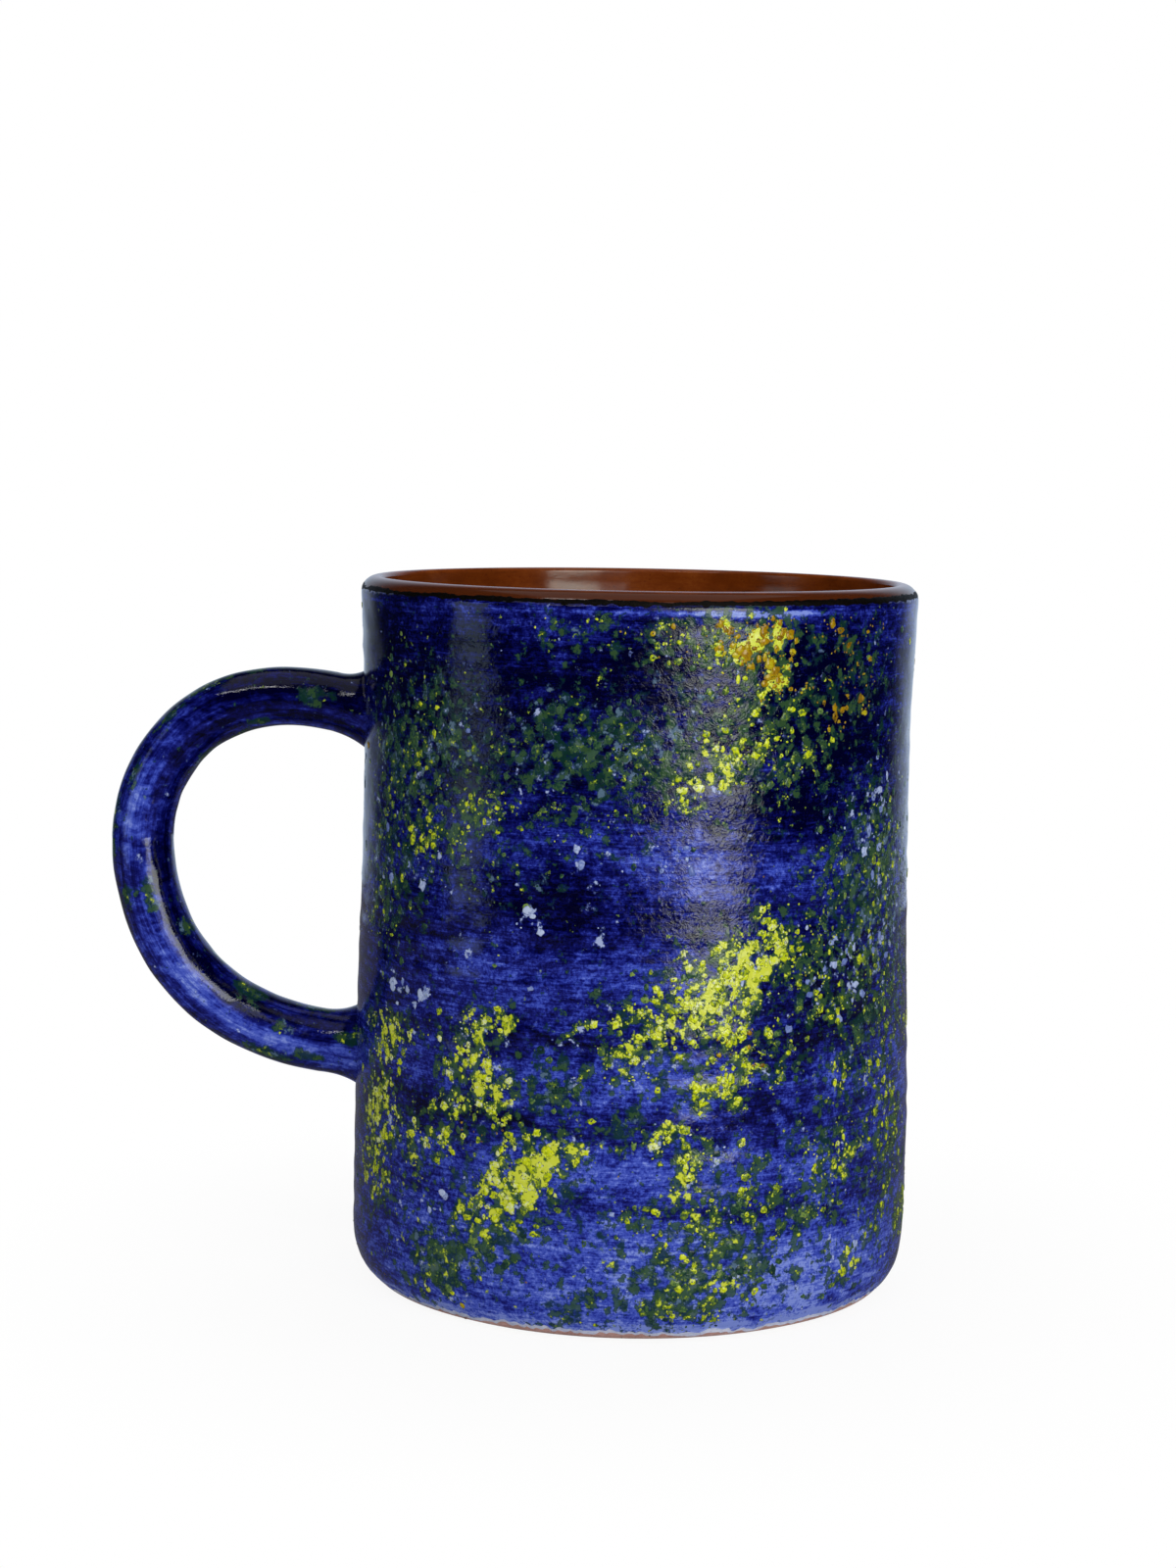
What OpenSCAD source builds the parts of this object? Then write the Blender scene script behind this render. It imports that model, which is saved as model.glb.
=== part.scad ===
// Straight-sided clay mug with a round handle, built up in the layers a potter makes:
// the thrown pot, the rolled handle, the slip that joins them, the white slip and blue
// glaze brushed over both, the honey glaze inside, and the dabbed drops of colour.
// +Z is up, the origin is the centre of the base, and the handle is on the -X side.

/* [Pot] */
// Height of the mug from table to lip
pot_h = 108; // [95:1:125]
// Outside diameter at the lip, over the glaze
lip_d = 85; // [75:1:98]
// Thickness of the lip, over the glaze
lip_t = 3.2; // [2.8:0.1:4.2]
// Thickness of the wall where it meets the floor, over the glaze
foot_t = 4.6; // [4:0.1:6]
// Thickness of the floor, over the glaze
floor_t = 5.6; // [4.5:0.1:8]
// How far the wall draws in at the waist
waist_in = 0.6; // [0:0.1:2]
// How far the wall swells out again near the foot
belly_out = 1.1; // [0:0.1:3]
// How far the base is drawn in from the belly
base_in = 4.6; // [3:0.1:7]
// Height of the rounded corner at the base
corner_h = 8.6; // [6:0.1:12]
// Radius of the corner inside, between wall and floor
inside_round = 8; // [5:0.5:14]

/* [Coats] */
// Thickness of the white slip
slip_t = 0.25; // [0.15:0.05:0.4]
// Thickness of the blue glaze
blue_t = 0.35; // [0.2:0.05:0.5]
// Thickness of the honey glaze inside
honey_t = 0.35; // [0.2:0.05:0.5]

/* [Handle] */
// How far the middle of the rod stands off the wall
handle_reach = 34.2; // [30:0.5:42]
// How far below the lip the rod meets the wall at the top
upper_root_down = 20.8; // [17:0.2:26]
// Distance between the two places where the rod meets the wall
root_span = 52.4; // [47:0.2:57]
// How far below the upper one the rod stands furthest out
out_down = 20.2; // [16:0.2:26]
// Slope at which the rod leaves the wall at the top, in degrees
upper_slope = 16; // [5:1:25]
// Slope at which the rod leaves the wall at the bottom, in degrees
lower_slope = 2; // [0:1:12]
// Thickness of the rod at its upper end, over the glaze
upper_rod_t = 9; // [7.5:0.1:11]
// Thickness of the rod at its lower end, over the glaze
lower_rod_t = 9.9; // [7.5:0.1:12]
// How much wider than thick the rod is
rod_widen = 1; // [0:0.1:3]

/* [Joints] */
// Height of the joining slip at the wall, all round the rod
joint_flare = 1; // [0.6:0.1:1.8]
// Distance over which the joining slip fades along the rod
joint_run = 5.5; // [4.5:0.1:7]

/* [Drops] */
// Spacing of the grid on which the drops are dabbed
drop_pitch = 5.4; // [5:0.2:9]
// Largest diameter of a drop
drop_d = 4; // [2:0.1:4.6]
// How far a drop stands proud of the blue glaze
drop_t = 0.25; // [0.15:0.05:0.4]

/* [Hidden] */

coat_t = slip_t + blue_t;

// Heights of the waist and the belly, as shares of the mug's height
waist_share = 0.8;
belly_share = 0.2;
waist_z = pot_h * waist_share;
belly_z = pot_h * belly_share;

// The lip's two rounded corners, as shares of its thickness
lip_outer_share = 0.75;
lip_inner_share = 0.22;
lip_outer_round = lip_t * lip_outer_share;
lip_inner_round = lip_t * lip_inner_share;
lip_low_z = pot_h - lip_outer_round;

// Radii of the outside, over the glaze
lip_r = lip_d / 2;
waist_r = lip_r - waist_in;
belly_r = waist_r + belly_out;
base_r = belly_r - base_in;

// How soon each swell of the wall sets in, as a power
waist_ease = 1.2;
belly_ease = 1.5;
foot_ease = 1.5;

// Where the coats end: angles round the base corner, and angles up the lip's outer corner
slip_edge_a = 70;
blue_edge_a = 65;
blue_top_a = 14;
dark_top_a = 24;

corner_angles = [slip_edge_a, blue_edge_a, 50, 35, 20, 10];
wall_steps = 12;
lip_angles = [blue_top_a, dark_top_a, 45, 68, 90];

// Radius of the outside at a height on the wall
function wall_r(z) =
  z > waist_z
    ? waist_r + waist_in * pow((z - waist_z) / (lip_low_z - waist_z), waist_ease)
    : z > belly_z
      ? waist_r + belly_out * pow((waist_z - z) / (waist_z - belly_z), belly_ease)
      : belly_r;

// Thickness of the wall at a height, from the foot to the lip
function wall_t(z) = lip_t + (foot_t - lip_t) * pow(1 - z / pot_h, foot_ease);

// Heights of the wall's points, from the base corner to the lip
function wall_z(i) = corner_h + (lip_low_z - corner_h) * i / wall_steps;

// Point on the base corner, at an angle below the level and a depth under the glaze
function corner_point(a, deep) = [
  base_r + (base_in - deep) * cos(a),
  corner_h * (1 - sin(a))
];

// Point on the wall, at a depth under the glaze
function wall_point(i, deep) = [wall_r(wall_z(i)) - deep, wall_z(i)];

// Point on the lip's outer corner, at an angle above the level and a depth under the glaze
function lip_point(a, deep) = [
  wall_r(lip_low_z) - lip_outer_round + (lip_outer_round - deep) * cos(a),
  lip_low_z + (lip_outer_round - deep) * sin(a)
];

// The outside from an angle on the base corner to an angle on the lip
function outside(deep, low_a, high_a) = concat(
  [for (a = corner_angles) if (a <= low_a) corner_point(a, deep)],
  [for (i = [0 : wall_steps]) wall_point(i, deep)],
  [for (a = lip_angles) if (a <= high_a) lip_point(a, deep)]
);

// The inside from the lip to the middle of the floor, at a depth behind the glaze
function inside_r(z) = wall_r(z) - wall_t(z);
inside_low_z = floor_t + inside_round;
inside_high_z = pot_h - lip_inner_round;
function inside_z(i) = inside_high_z + (inside_low_z - inside_high_z) * i / wall_steps;
function inside(deep, lip_deep) = concat(
  [
    for (a = [90 : 22.5 : 180]) [
      inside_r(inside_high_z) + lip_inner_round + (lip_inner_round - deep) * cos(a),
      inside_high_z + (lip_inner_round - lip_deep) * sin(a)
    ]
  ],
  [for (i = [1 : wall_steps]) [inside_r(inside_z(i)) + deep, inside_z(i)]],
  [
    for (a = [-15 : -15 : -90]) [
      inside_r(inside_low_z) - inside_round + (inside_round + deep) * cos(a),
      inside_low_z + (inside_round + deep) * sin(a)
    ]
  ],
  [[0, floor_t - deep]]
);

function backwards(list) = [for (i = [len(list) - 1 : -1 : 0]) list[i]];

$fn = 96;

// A coat on the outside, between two depths under the glaze and two angles
module outside_coat(deep_out, deep_in, low_a, high_a) {
  rotate_extrude()
    polygon(concat(
      outside(deep_out, low_a, high_a),
      backwards(outside(deep_in, low_a, high_a))
    ));
}

// Middle line of the handle in the XZ plane: two curves that meet where it stands furthest out
upper_pull_share = 0.83;
upper_drop_share = 0.41;
lower_drop_share = 0.55;
lower_pull_share = 0.66;
upper_root_z = pot_h - upper_root_down;
lower_root_z = upper_root_z - root_span;
handle_out_z = upper_root_z - out_down;
out_x = -(wall_r(handle_out_z) + handle_reach);
out_point = [out_x, handle_out_z];
upper_root = [-wall_r(upper_root_z), upper_root_z];
lower_root = [-wall_r(lower_root_z), lower_root_z];
upper_pull = handle_reach * upper_pull_share;
lower_pull = handle_reach * lower_pull_share;
upper_drop = out_down * upper_drop_share;
lower_drop = (root_span - out_down) * lower_drop_share;
upper_curve = [
  upper_root,
  upper_root + upper_pull * [-cos(upper_slope), sin(upper_slope)],
  out_point + [0, upper_drop],
  out_point
];
lower_curve = [
  lower_root,
  lower_root + lower_pull * [-cos(lower_slope), sin(lower_slope)],
  out_point - [0, lower_drop],
  out_point
];

// Point on a curve, and the way it runs there
function bend(c, t) =
  pow(1 - t, 3) * c[0] + 3 * pow(1 - t, 2) * t * c[1]
  + 3 * (1 - t) * t * t * c[2] + pow(t, 3) * c[3];
function bend_way(c, t) =
  (c[1] - c[0]) * pow(1 - t, 2) + (c[2] - c[1]) * 2 * (1 - t) * t + (c[3] - c[2]) * t * t;

// Share of a curve that the joining slip takes up
function joint_share(c) = joint_run / (3 * norm(c[1] - c[0]));

// Thickness of the clay rod at a share of the upper or the lower curve
mid_rod_t = (upper_rod_t + lower_rod_t) / 2;
function rod_half_t(root_t, t) = (root_t + (mid_rod_t - root_t) * t) / 2 - coat_t;

// One ring of points round the rod, square to the curve, grown by a thickness
rod_sides = 20;
function ring(c, root_t, t, grow) =
  let (
    mid = bend(c, t),
    way = bend_way(c, t) / norm(bend_way(c, t)),
    half_t = rod_half_t(root_t, t) + grow,
    half_w = half_t + rod_widen / 2
  )
  [
    for (j = [0 : rod_sides - 1])
      let (a = 360 * j / rod_sides)
      [
        mid[0] + way[1] * half_t * cos(a),
        half_w * sin(a),
        mid[1] - way[0] * half_t * cos(a)
      ]
  ];

// A point carried along a direction to the wall, at a depth under the glaze
function to_wall(p, way, deep, tries = 4) =
  let (
    r = wall_r(p[2]) - deep,
    q = p + way * ((-sqrt(r * r - p[1] * p[1]) - p[0]) / way[0])
  )
  tries == 0 ? q : to_wall(q, way, deep, tries - 1);

// Rings from the wall to the end of the joining slip. They morph from the wall's curve to the
// rod's own ring, and the slip's flare fades on the way
joint_steps = 4;
function root_rings(c, root_t, flared, grow) =
  let (
    way = [bend_way(c, 0)[0], 0, bend_way(c, 0)[1]],
    plain = [for (p = ring(c, root_t, 0, grow)) to_wall(p, way, coat_t)],
    wide = [for (p = ring(c, root_t, 0, grow + flared * joint_flare)) to_wall(p, way, coat_t)],
    far = ring(c, root_t, joint_share(c), grow)
  )
  [
    for (i = [0 : joint_steps])
      let (share = i / joint_steps)
      [
        for (j = [0 : rod_sides - 1])
          plain[j] * (1 - share) + far[j] * share + (wide[j] - plain[j]) * pow(1 - share, 2)
      ]
  ];

// The same rings, started on the wall's surface at another depth
function started(rings, deep) = concat(
  [[for (j = [0 : rod_sides - 1]) to_wall(rings[0][j], rings[1][j] - rings[0][j], deep)]],
  [for (i = [1 : len(rings) - 1]) rings[i]]
);

// Rings over one curve from the wall to the furthest point, and over the whole rod
curve_steps = 10;
function curve_rings(c, root_t, flared, grow, deep) = concat(
  started(root_rings(c, root_t, flared, grow), deep),
  [
    for (i = [1 : curve_steps])
      ring(c, root_t, joint_share(c) + (1 - joint_share(c)) * i / curve_steps, grow)
  ]
);
function turned(r) = [for (j = [0 : rod_sides - 1]) r[(rod_sides + rod_sides / 2 - j) % rod_sides]];
function rod_rings(flared, grow, deep) =
  let (
    upper = curve_rings(upper_curve, upper_rod_t, flared, grow, deep),
    lower = curve_rings(lower_curve, lower_rod_t, flared, grow, deep)
  )
  concat(upper, [for (i = [len(lower) - 2 : -1 : 0]) turned(lower[i])]);

// Triangles between one ring and the next, and the points of a list of rings
function at(i, j) = i * rod_sides + j % rod_sides;
function band(i, k) = [
  for (j = [0 : rod_sides - 1])
    each [
      [at(i, j), at(k, j + 1), at(i, j + 1)],
      [at(i, j), at(k, j), at(k, j + 1)]
    ]
];
function bands(count) = [for (i = [0 : count - 2]) each band(i, i + 1)];
function points_of(rings) = [for (r = rings) each r];

// Rings that fill an end on the wall, closing in on the middle
cap_steps = 3;
function cap_rings(r, way, deep) =
  let (mid = to_wall([for (p = r) 1 / rod_sides] * r, way, deep))
  [
    for (i = [1 : cap_steps - 1])
      [for (p = r) to_wall(p + (mid - p) * i / cap_steps, way, deep)]
  ];

// A rod closed at both ends by the wall's curve
module solid_rod(rings, deep) {
  count = len(rings);
  first_way = rings[1][0] - rings[0][0];
  last_way = rings[count - 2][0] - rings[count - 1][0];
  first_cap = cap_rings(rings[0], first_way, deep);
  last_cap = cap_rings(rings[count - 1], last_way, deep);
  all = concat(backwards(first_cap), rings, last_cap);
  total = len(all);
  polyhedron(
    points = points_of(all),
    faces = concat(
      [[for (j = [0 : rod_sides - 1]) at(0, j)]],
      bands(total),
      [[for (j = [rod_sides - 1 : -1 : 0]) at(total - 1, j)]]
    ),
    convexity = 6
  );
}

// A skin between an inner and an outer list of rings, closed at both ends
module skin(outer, inner) {
  all = concat(outer, backwards(inner));
  total = len(all);
  polyhedron(
    points = points_of(all),
    faces = concat(bands(total), band(total - 1, 0)),
    convexity = 6
  );
}

// The joining slip round one root. Its thin edge lies on the rod
module joint_skin(c, root_t) {
  outer = root_rings(c, root_t, 1, 0);
  inner = root_rings(c, root_t, 0, 0);
  all = concat(outer, [for (i = [joint_steps - 1 : -1 : 0]) inner[i]]);
  total = len(all);
  polyhedron(
    points = points_of(all),
    faces = concat(bands(total), band(total - 1, 0)),
    convexity = 4
  );
}

// A plug that cuts a coat on the wall where the rod and its joining slip come through
module root_cut(c, root_t, grow) {
  rings = root_rings(c, root_t, 1, grow);
  polyhedron(
    points = concat(rings[0] * 3 - rings[1] * 2, rings[1]),
    faces = concat(
      [[for (j = [0 : rod_sides - 1]) at(0, j)]],
      bands(2),
      [[for (j = [rod_sides - 1 : -1 : 0]) at(1, j)]]
    ),
    convexity = 2
  );
}
module root_cuts(grow) {
  root_cut(upper_curve, upper_rod_t, grow);
  root_cut(lower_curve, lower_rod_t, grow);
}

module clay_pot() {
  color("sienna")
    rotate_extrude()
      polygon(concat(
        [[0, 0], [base_r, 0]],
        outside(coat_t, 90, 90),
        inside(honey_t, coat_t)
      ));
}

module clay_handle() {
  color("sienna")
    solid_rod(rod_rings(0, 0, coat_t), coat_t);
}

module upper_joint_slip() {
  color("peru")
    joint_skin(upper_curve, upper_rod_t);
}

module lower_joint_slip() {
  color("peru")
    joint_skin(lower_curve, lower_rod_t);
}

module white_slip_coat() {
  color("seashell")
    difference() {
      outside_coat(blue_t, coat_t, slip_edge_a, blue_top_a);
      root_cuts(0);
    }
}

module handle_slip_coat() {
  color("seashell")
    skin(rod_rings(1, slip_t, blue_t), rod_rings(1, 0, blue_t));
}

module blue_glaze_coat() {
  color("mediumblue")
    difference() {
      outside_coat(0, blue_t, blue_edge_a, blue_top_a);
      root_cuts(slip_t);
    }
}

module handle_glaze_coat() {
  color("mediumblue")
    skin(rod_rings(1, coat_t, 0), rod_rings(1, slip_t, 0));
}

module honey_glaze_liner() {
  lip_out = [for (a = lip_angles) if (a >= dark_top_a) lip_point(a, 0)];
  lip_in = [for (a = lip_angles) if (a >= dark_top_a) lip_point(a, coat_t)];
  color("chocolate")
    rotate_extrude()
      polygon(concat(
        lip_out,
        inside(0, 0),
        backwards(inside(honey_t, coat_t)),
        backwards(lip_in)
      ));
}

module dark_rim_line() {
  color("black")
    rotate_extrude()
      polygon([
        lip_point(blue_top_a, 0),
        lip_point(dark_top_a, 0),
        lip_point(dark_top_a, coat_t),
        lip_point(blue_top_a, coat_t)
      ]);
}

// Drifts of dabbed colour. Each has its angle round the mug, where -90 is the front, its height
// as a share of the mug's, its spread in degrees and as a share of the height, its slant and its
// strength
yellow_drift_shares = [
  [-64, 0.54, 7, 0.05, 0.5, 1],
  [-74, 0.46, 11, 0.05, 0.6, 1],
  [-75, 0.77, 8, 0.04, 0.5, 0.9],
  [-66, 0.84, 6, 0.06, 0.3, 0.7],
  [-109, 0.21, 9, 0.04, 0.8, 1],
  [-122, 0.35, 9, 0.07, -0.5, 0.7],
  [-131, 0.66, 8, 0.05, 0, 0.7],
  [-66, 0.16, 8, 0.08, 0.8, 0.6],
  [-36, 0.3, 10, 0.25, 0.3, 0.5],
  [-156, 0.3, 8, 0.1, 0, 0.6],
  [50, 0.5, 26, 0.08, 0.8, 0.9],
  [125, 0.3, 22, 0.08, 0.7, 0.8]
];
green_drift_shares = [
  [-121, 0.74, 12, 0.08, 0.2, 0.8],
  [-93, 0.8, 12, 0.07, 0.2, 0.7],
  [-122, 0.12, 10, 0.05, 0.6, 0.8],
  [-72, 0.11, 10, 0.06, 0.8, 0.9],
  [-84, 0.42, 12, 0.07, 0.6, 0.6],
  [-38, 0.5, 14, 0.2, 0.3, 0.6],
  [30, 0.7, 34, 0.12, 0.3, 0.7],
  [110, 0.6, 30, 0.14, 0.4, 0.7]
];
ochre_drift_shares = [
  [-67, 0.91, 8, 0.05, 0.2, 1],
  [-43, 0.88, 10, 0.06, 0.2, 0.6],
  [85, 0.82, 22, 0.07, 0.3, 0.8]
];
white_drift_shares = [
  [-108, 0.56, 16, 0.07, 0, 0.6],
  [-140, 0.46, 10, 0.08, 0, 0.5],
  [0, 0.45, 50, 0.2, 0, 0.4],
  [120, 0.8, 50, 0.15, 0, 0.4]
];

// Strength of a set of drifts at an angle and a height share
function near_turn(a) = a - 360 * round(a / 360);
function drift_one(d, a, h) =
  let (
    across = near_turn(a - d[0]) / d[2],
    along = (h - d[1]) / d[3] - d[4] * across
  )
  d[5] * exp(-(across * across + along * along));
function drift(list, a, h) = max([for (d = list) drift_one(d, a, h)]);

// Degrees in a radian
radian = 180 / PI;

// Cells of the grid, kept clear of the lip, the base corner and the handle's roots
drop_rows = floor((lip_low_z - corner_h) / drop_pitch);
drop_turns = floor(2 * PI * waist_r / drop_pitch);
throw_count = 4;
throws = rands(0, 1, throw_count * drop_rows * drop_turns, 7);
function throw(k, n) = throws[throw_count * k + n];
least_drop_share = 0.5;
faint_drift = 0.2;
drop_sides = 9;
function drop_size(k) = drop_d * (least_drop_share + (1 - least_drop_share) * throw(k, 1));
function drop_z(k, row) =
  corner_h + drop_pitch * (row + 0.5)
  + (drop_pitch - drop_size(k)) * (throw(k, 2) - 0.5);
function drop_a(k, turn) =
  360 * (turn + 0.5) / drop_turns
  + radian * (drop_pitch - drop_size(k)) / waist_r * (throw(k, 3) - 0.5);
root_room = lower_rod_t / 2 + joint_flare + drop_d;
function near_root(a, z) =
  let (along = near_turn(a - 180) / radian * waist_r)
  min(norm([along, z - upper_root_z]), norm([along, z - lower_root_z])) < root_room;

module drops(list, others) {
  for (row = [0 : drop_rows - 1])
    for (turn = [0 : drop_turns - 1]) {
      k = row * drop_turns + turn;
      a = drop_a(k, turn);
      z = drop_z(k, row);
      mine = drift(list, a, z / pot_h);
      rest = max([for (o = others) drift(o, a, z / pot_h)]);
      if (mine > rest && mine > max(throw(k, 0), faint_drift) && !near_root(a, z))
        intersection() {
          rotate([0, 0, a])
            translate([0, 0, z])
              rotate([0, 90, 0])
                cylinder(h = lip_d, d = drop_size(k), $fn = drop_sides);
          rotate_extrude()
            polygon(concat(
              [for (i = [0 : wall_steps]) wall_point(i, -drop_t)],
              [for (i = [wall_steps : -1 : 0]) wall_point(i, 0)]
            ));
        }
    }
}

module yellow_drops() {
  color("gold")
    drops(yellow_drift_shares, [green_drift_shares, ochre_drift_shares, white_drift_shares]);
}

module green_drops() {
  color("darkgreen")
    drops(green_drift_shares, [yellow_drift_shares, ochre_drift_shares, white_drift_shares]);
}

module ochre_drops() {
  color("goldenrod")
    drops(ochre_drift_shares, [yellow_drift_shares, green_drift_shares, white_drift_shares]);
}

module white_drops() {
  color("lightsteelblue")
    drops(white_drift_shares, [yellow_drift_shares, green_drift_shares, ochre_drift_shares]);
}

clay_pot();
clay_handle();
upper_joint_slip();
lower_joint_slip();
white_slip_coat();
handle_slip_coat();
blue_glaze_coat();
handle_glaze_coat();
honey_glaze_liner();
dark_rim_line();
yellow_drops();
green_drops();
ochre_drops();
white_drops();
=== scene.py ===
import math

import bmesh
import bpy
import numpy as np
from mathutils import Matrix, Vector


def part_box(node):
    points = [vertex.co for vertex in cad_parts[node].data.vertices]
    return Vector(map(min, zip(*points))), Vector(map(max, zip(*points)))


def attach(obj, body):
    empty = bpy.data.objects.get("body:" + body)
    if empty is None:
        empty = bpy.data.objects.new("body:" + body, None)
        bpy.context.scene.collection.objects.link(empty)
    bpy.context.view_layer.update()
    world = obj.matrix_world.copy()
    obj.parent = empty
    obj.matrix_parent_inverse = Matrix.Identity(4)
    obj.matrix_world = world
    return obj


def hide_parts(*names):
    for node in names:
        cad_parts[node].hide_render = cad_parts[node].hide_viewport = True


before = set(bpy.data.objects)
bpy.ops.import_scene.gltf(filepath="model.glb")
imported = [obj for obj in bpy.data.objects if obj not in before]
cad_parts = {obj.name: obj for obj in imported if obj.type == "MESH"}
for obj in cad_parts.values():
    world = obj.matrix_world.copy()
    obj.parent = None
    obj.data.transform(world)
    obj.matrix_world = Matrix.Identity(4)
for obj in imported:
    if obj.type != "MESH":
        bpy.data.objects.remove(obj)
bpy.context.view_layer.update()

mm = 0.001
print("frame loaded")

# Sizes of the pot in millimetres, over the glaze. The first two come from the frame
pot = {
    "height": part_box("honey_glaze_liner")[1].z / mm,
    "bellyRadius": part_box("blue_glaze_coat")[1].y / mm,
    "waistIn": 0.6,
    "bellyOut": 1.1,
    "baseIn": 4.6,
    "cornerHeight": 8.6,
    "lipThick": 3.2,
    "footThick": 4.6,
    "floorThick": 5.6,
    "insideRound": 8.0,
    "lipOuterRound": 2.4,
    "lipInnerRound": 0.7,
    "glazeThick": 0.35,
    "slipThick": 0.25,
    "waistShare": 0.8,
    "bellyShare": 0.2,
    "waistEase": 1.2,
    "bellyEase": 1.5,
    "footEase": 1.5,
    "cornerSteps": 65,
}
coatThick = pot["glazeThick"] + pot["slipThick"]
waistRadius = pot["bellyRadius"] - pot["bellyOut"]
baseRadius = pot["bellyRadius"] - pot["baseIn"]
waistZ = pot["height"] * pot["waistShare"]
bellyZ = pot["height"] * pot["bellyShare"]
lipLowZ = pot["height"] - pot["lipOuterRound"]


def wallRadius(z):
    up = np.clip((z - waistZ) / (lipLowZ - waistZ), 0, 1)
    down = np.clip((waistZ - z) / (waistZ - bellyZ), 0, 1)
    return waistRadius + pot["waistIn"] * up ** pot["waistEase"] + pot["bellyOut"] * down ** pot["bellyEase"]


def wallThick(z):
    thicker = (1 - z / pot["height"]) ** pot["footEase"]
    return pot["lipThick"] + (pot["footThick"] - pot["lipThick"]) * thicker


# The outside is measured from the foot's edge: up round the base corner, the wall and the lip
cornerTurn = np.linspace(math.pi / 2, 0, pot["cornerSteps"])
cornerRun = np.concatenate([[0], np.cumsum(np.hypot(
    np.diff(pot["baseIn"] * np.cos(cornerTurn)),
    np.diff(pot["cornerHeight"] * np.sin(cornerTurn))))])
cornerLength = cornerRun[-1]
wallLength = lipLowZ - pot["cornerHeight"]
lipLength = pot["lipOuterRound"] * math.pi / 2
outsideLength = cornerLength + wallLength + lipLength


def outsidePoint(run, depth):
    # radius and height of a point a run up the outside and a depth under the glaze
    turn = np.interp(run, cornerRun, cornerTurn)
    z = np.clip(run - cornerLength, 0, wallLength) + pot["cornerHeight"]
    over = np.clip(run - cornerLength - wallLength, 0, lipLength) / pot["lipOuterRound"]
    lipR = wallRadius(lipLowZ) - pot["lipOuterRound"] + (pot["lipOuterRound"] - depth) * np.cos(over)
    lipZ = lipLowZ + (pot["lipOuterRound"] - depth) * np.sin(over)
    cornerR = baseRadius + (pot["baseIn"] - depth) * np.cos(turn)
    cornerZ = pot["cornerHeight"] * (1 - np.sin(turn))
    inCorner = run < cornerLength
    inLip = run > cornerLength + wallLength
    radius = np.where(inCorner, cornerR, np.where(inLip, lipR, wallRadius(z) - depth))
    height = np.where(inCorner, cornerZ, np.where(inLip, lipZ, z))
    return radius, height


def runAt(z):
    # the run up the outside at a height above the base corner
    return np.interp(z, [0, pot["cornerHeight"], lipLowZ], [0, cornerLength, cornerLength + wallLength])


def makeWaves(seed, count, turns, lengths, amount, spread=(0.5, 1.2)):
    # random waves that close up round the pot: how many to a turn, how steep, where they start, how tall
    draw = np.random.default_rng(seed)
    return [
        (draw.integers(turns[0], turns[1] + 1), draw.choice([-1, 1]) * 2 * math.pi / draw.uniform(*lengths),
         draw.uniform(0, 2 * math.pi), amount * draw.uniform(*spread))
        for _ in range(count)
    ]


def waveHeight(waves, turn, run):
    return sum(size * np.cos(m * turn + k * run + start) for m, k, start, size in waves)


# How uneven a hand leaves the wall, in millimetres. The grooves wander and come and go round the pot
handMarks = {
    "swell": 0.045,
    "throwing": 0.011,
    "dents": 0.004,
    "groove": 0.026,
    "grooveWide": 0.55,
    "grooveWander": 0.5,
    "grooveShake": 0.12,
    "grooveShows": 0.55,
    "grooveComes": 0.75,
    "calmFootShare": 0.05,
    "calmLipShare": 0.04,
}
swellWaves = makeWaves(3, 9, (1, 4), (35, 90), handMarks["swell"])
throwWaves = makeWaves(4, 14, (0, 1), (2.6, 8), handMarks["throwing"])
dentWaves = makeWaves(5, 40, (5, 36), (4, 18), handMarks["dents"])
grooveShares = [0.11, 0.185, 0.196, 0.285, 0.302, 0.41, 0.425, 0.56, 0.62, 0.70, 0.755, 0.86]


def grooveDepth(turn, run):
    marks = handMarks
    depth = 0 * (turn + run)
    for k, level in enumerate(grooveShares):
        middle = level * outsideLength + marks["grooveWander"] * np.sin(turn + 2.3 * k)
        middle = middle + marks["grooveShake"] * np.sin(3 * turn + k)
        fade = np.clip(marks["grooveShows"] + marks["grooveComes"] * np.sin(turn + 1.9 * k), 0, 1)
        depth = depth + fade * np.exp(-((run - middle) / marks["grooveWide"]) ** 2)
    return depth


def wallBulge(turn, run):
    share = run / outsideLength
    bulge = waveHeight(swellWaves, turn, run) + waveHeight(throwWaves, turn, run)
    bulge = bulge + waveHeight(dentWaves, turn, run) - handMarks["groove"] * grooveDepth(turn, run)
    atFoot = np.clip(share / handMarks["calmFootShare"], 0, 1)
    atLip = np.clip((1 - share) / handMarks["calmLipShare"], 0, 1)
    return bulge * (atFoot * atLip)


def outsideXyz(turn, run, depth):
    radius, height = outsidePoint(run, depth - wallBulge(turn, run))
    return np.stack([radius * np.cos(turn), radius * np.sin(turn), height], -1) * mm


# Meshes and pieces

def newPiece(name, points, faces, material, replaced=()):
    mesh = bpy.data.meshes.new(name)
    mesh.from_pydata(points.reshape(-1, 3).tolist(), [], faces)
    mesh.polygons.foreach_set("use_smooth", [True] * len(mesh.polygons))
    mesh.materials.append(material)
    mesh.update()
    piece = bpy.data.objects.new(name, mesh)
    bpy.context.scene.collection.objects.link(piece)
    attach(piece, "root")
    if replaced:
        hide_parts(*replaced)
    return piece


def bandFaces(rows, columns, closeRows=False):
    i, j = np.meshgrid(np.arange(rows if closeRows else rows - 1), np.arange(columns), indexing="ij")
    after = (j + 1) % columns
    upper = (i + 1) % rows
    corners = [i * columns + j, i * columns + after, upper * columns + after, upper * columns + j]
    return np.stack(corners, -1).reshape(-1, 4).tolist()


def fanFaces(first, columns, tip, facesUp):
    order = [[first + j, first + (j + 1) % columns, tip] for j in range(columns)]
    return order if facesUp else [face[::-1] for face in order]


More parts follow.
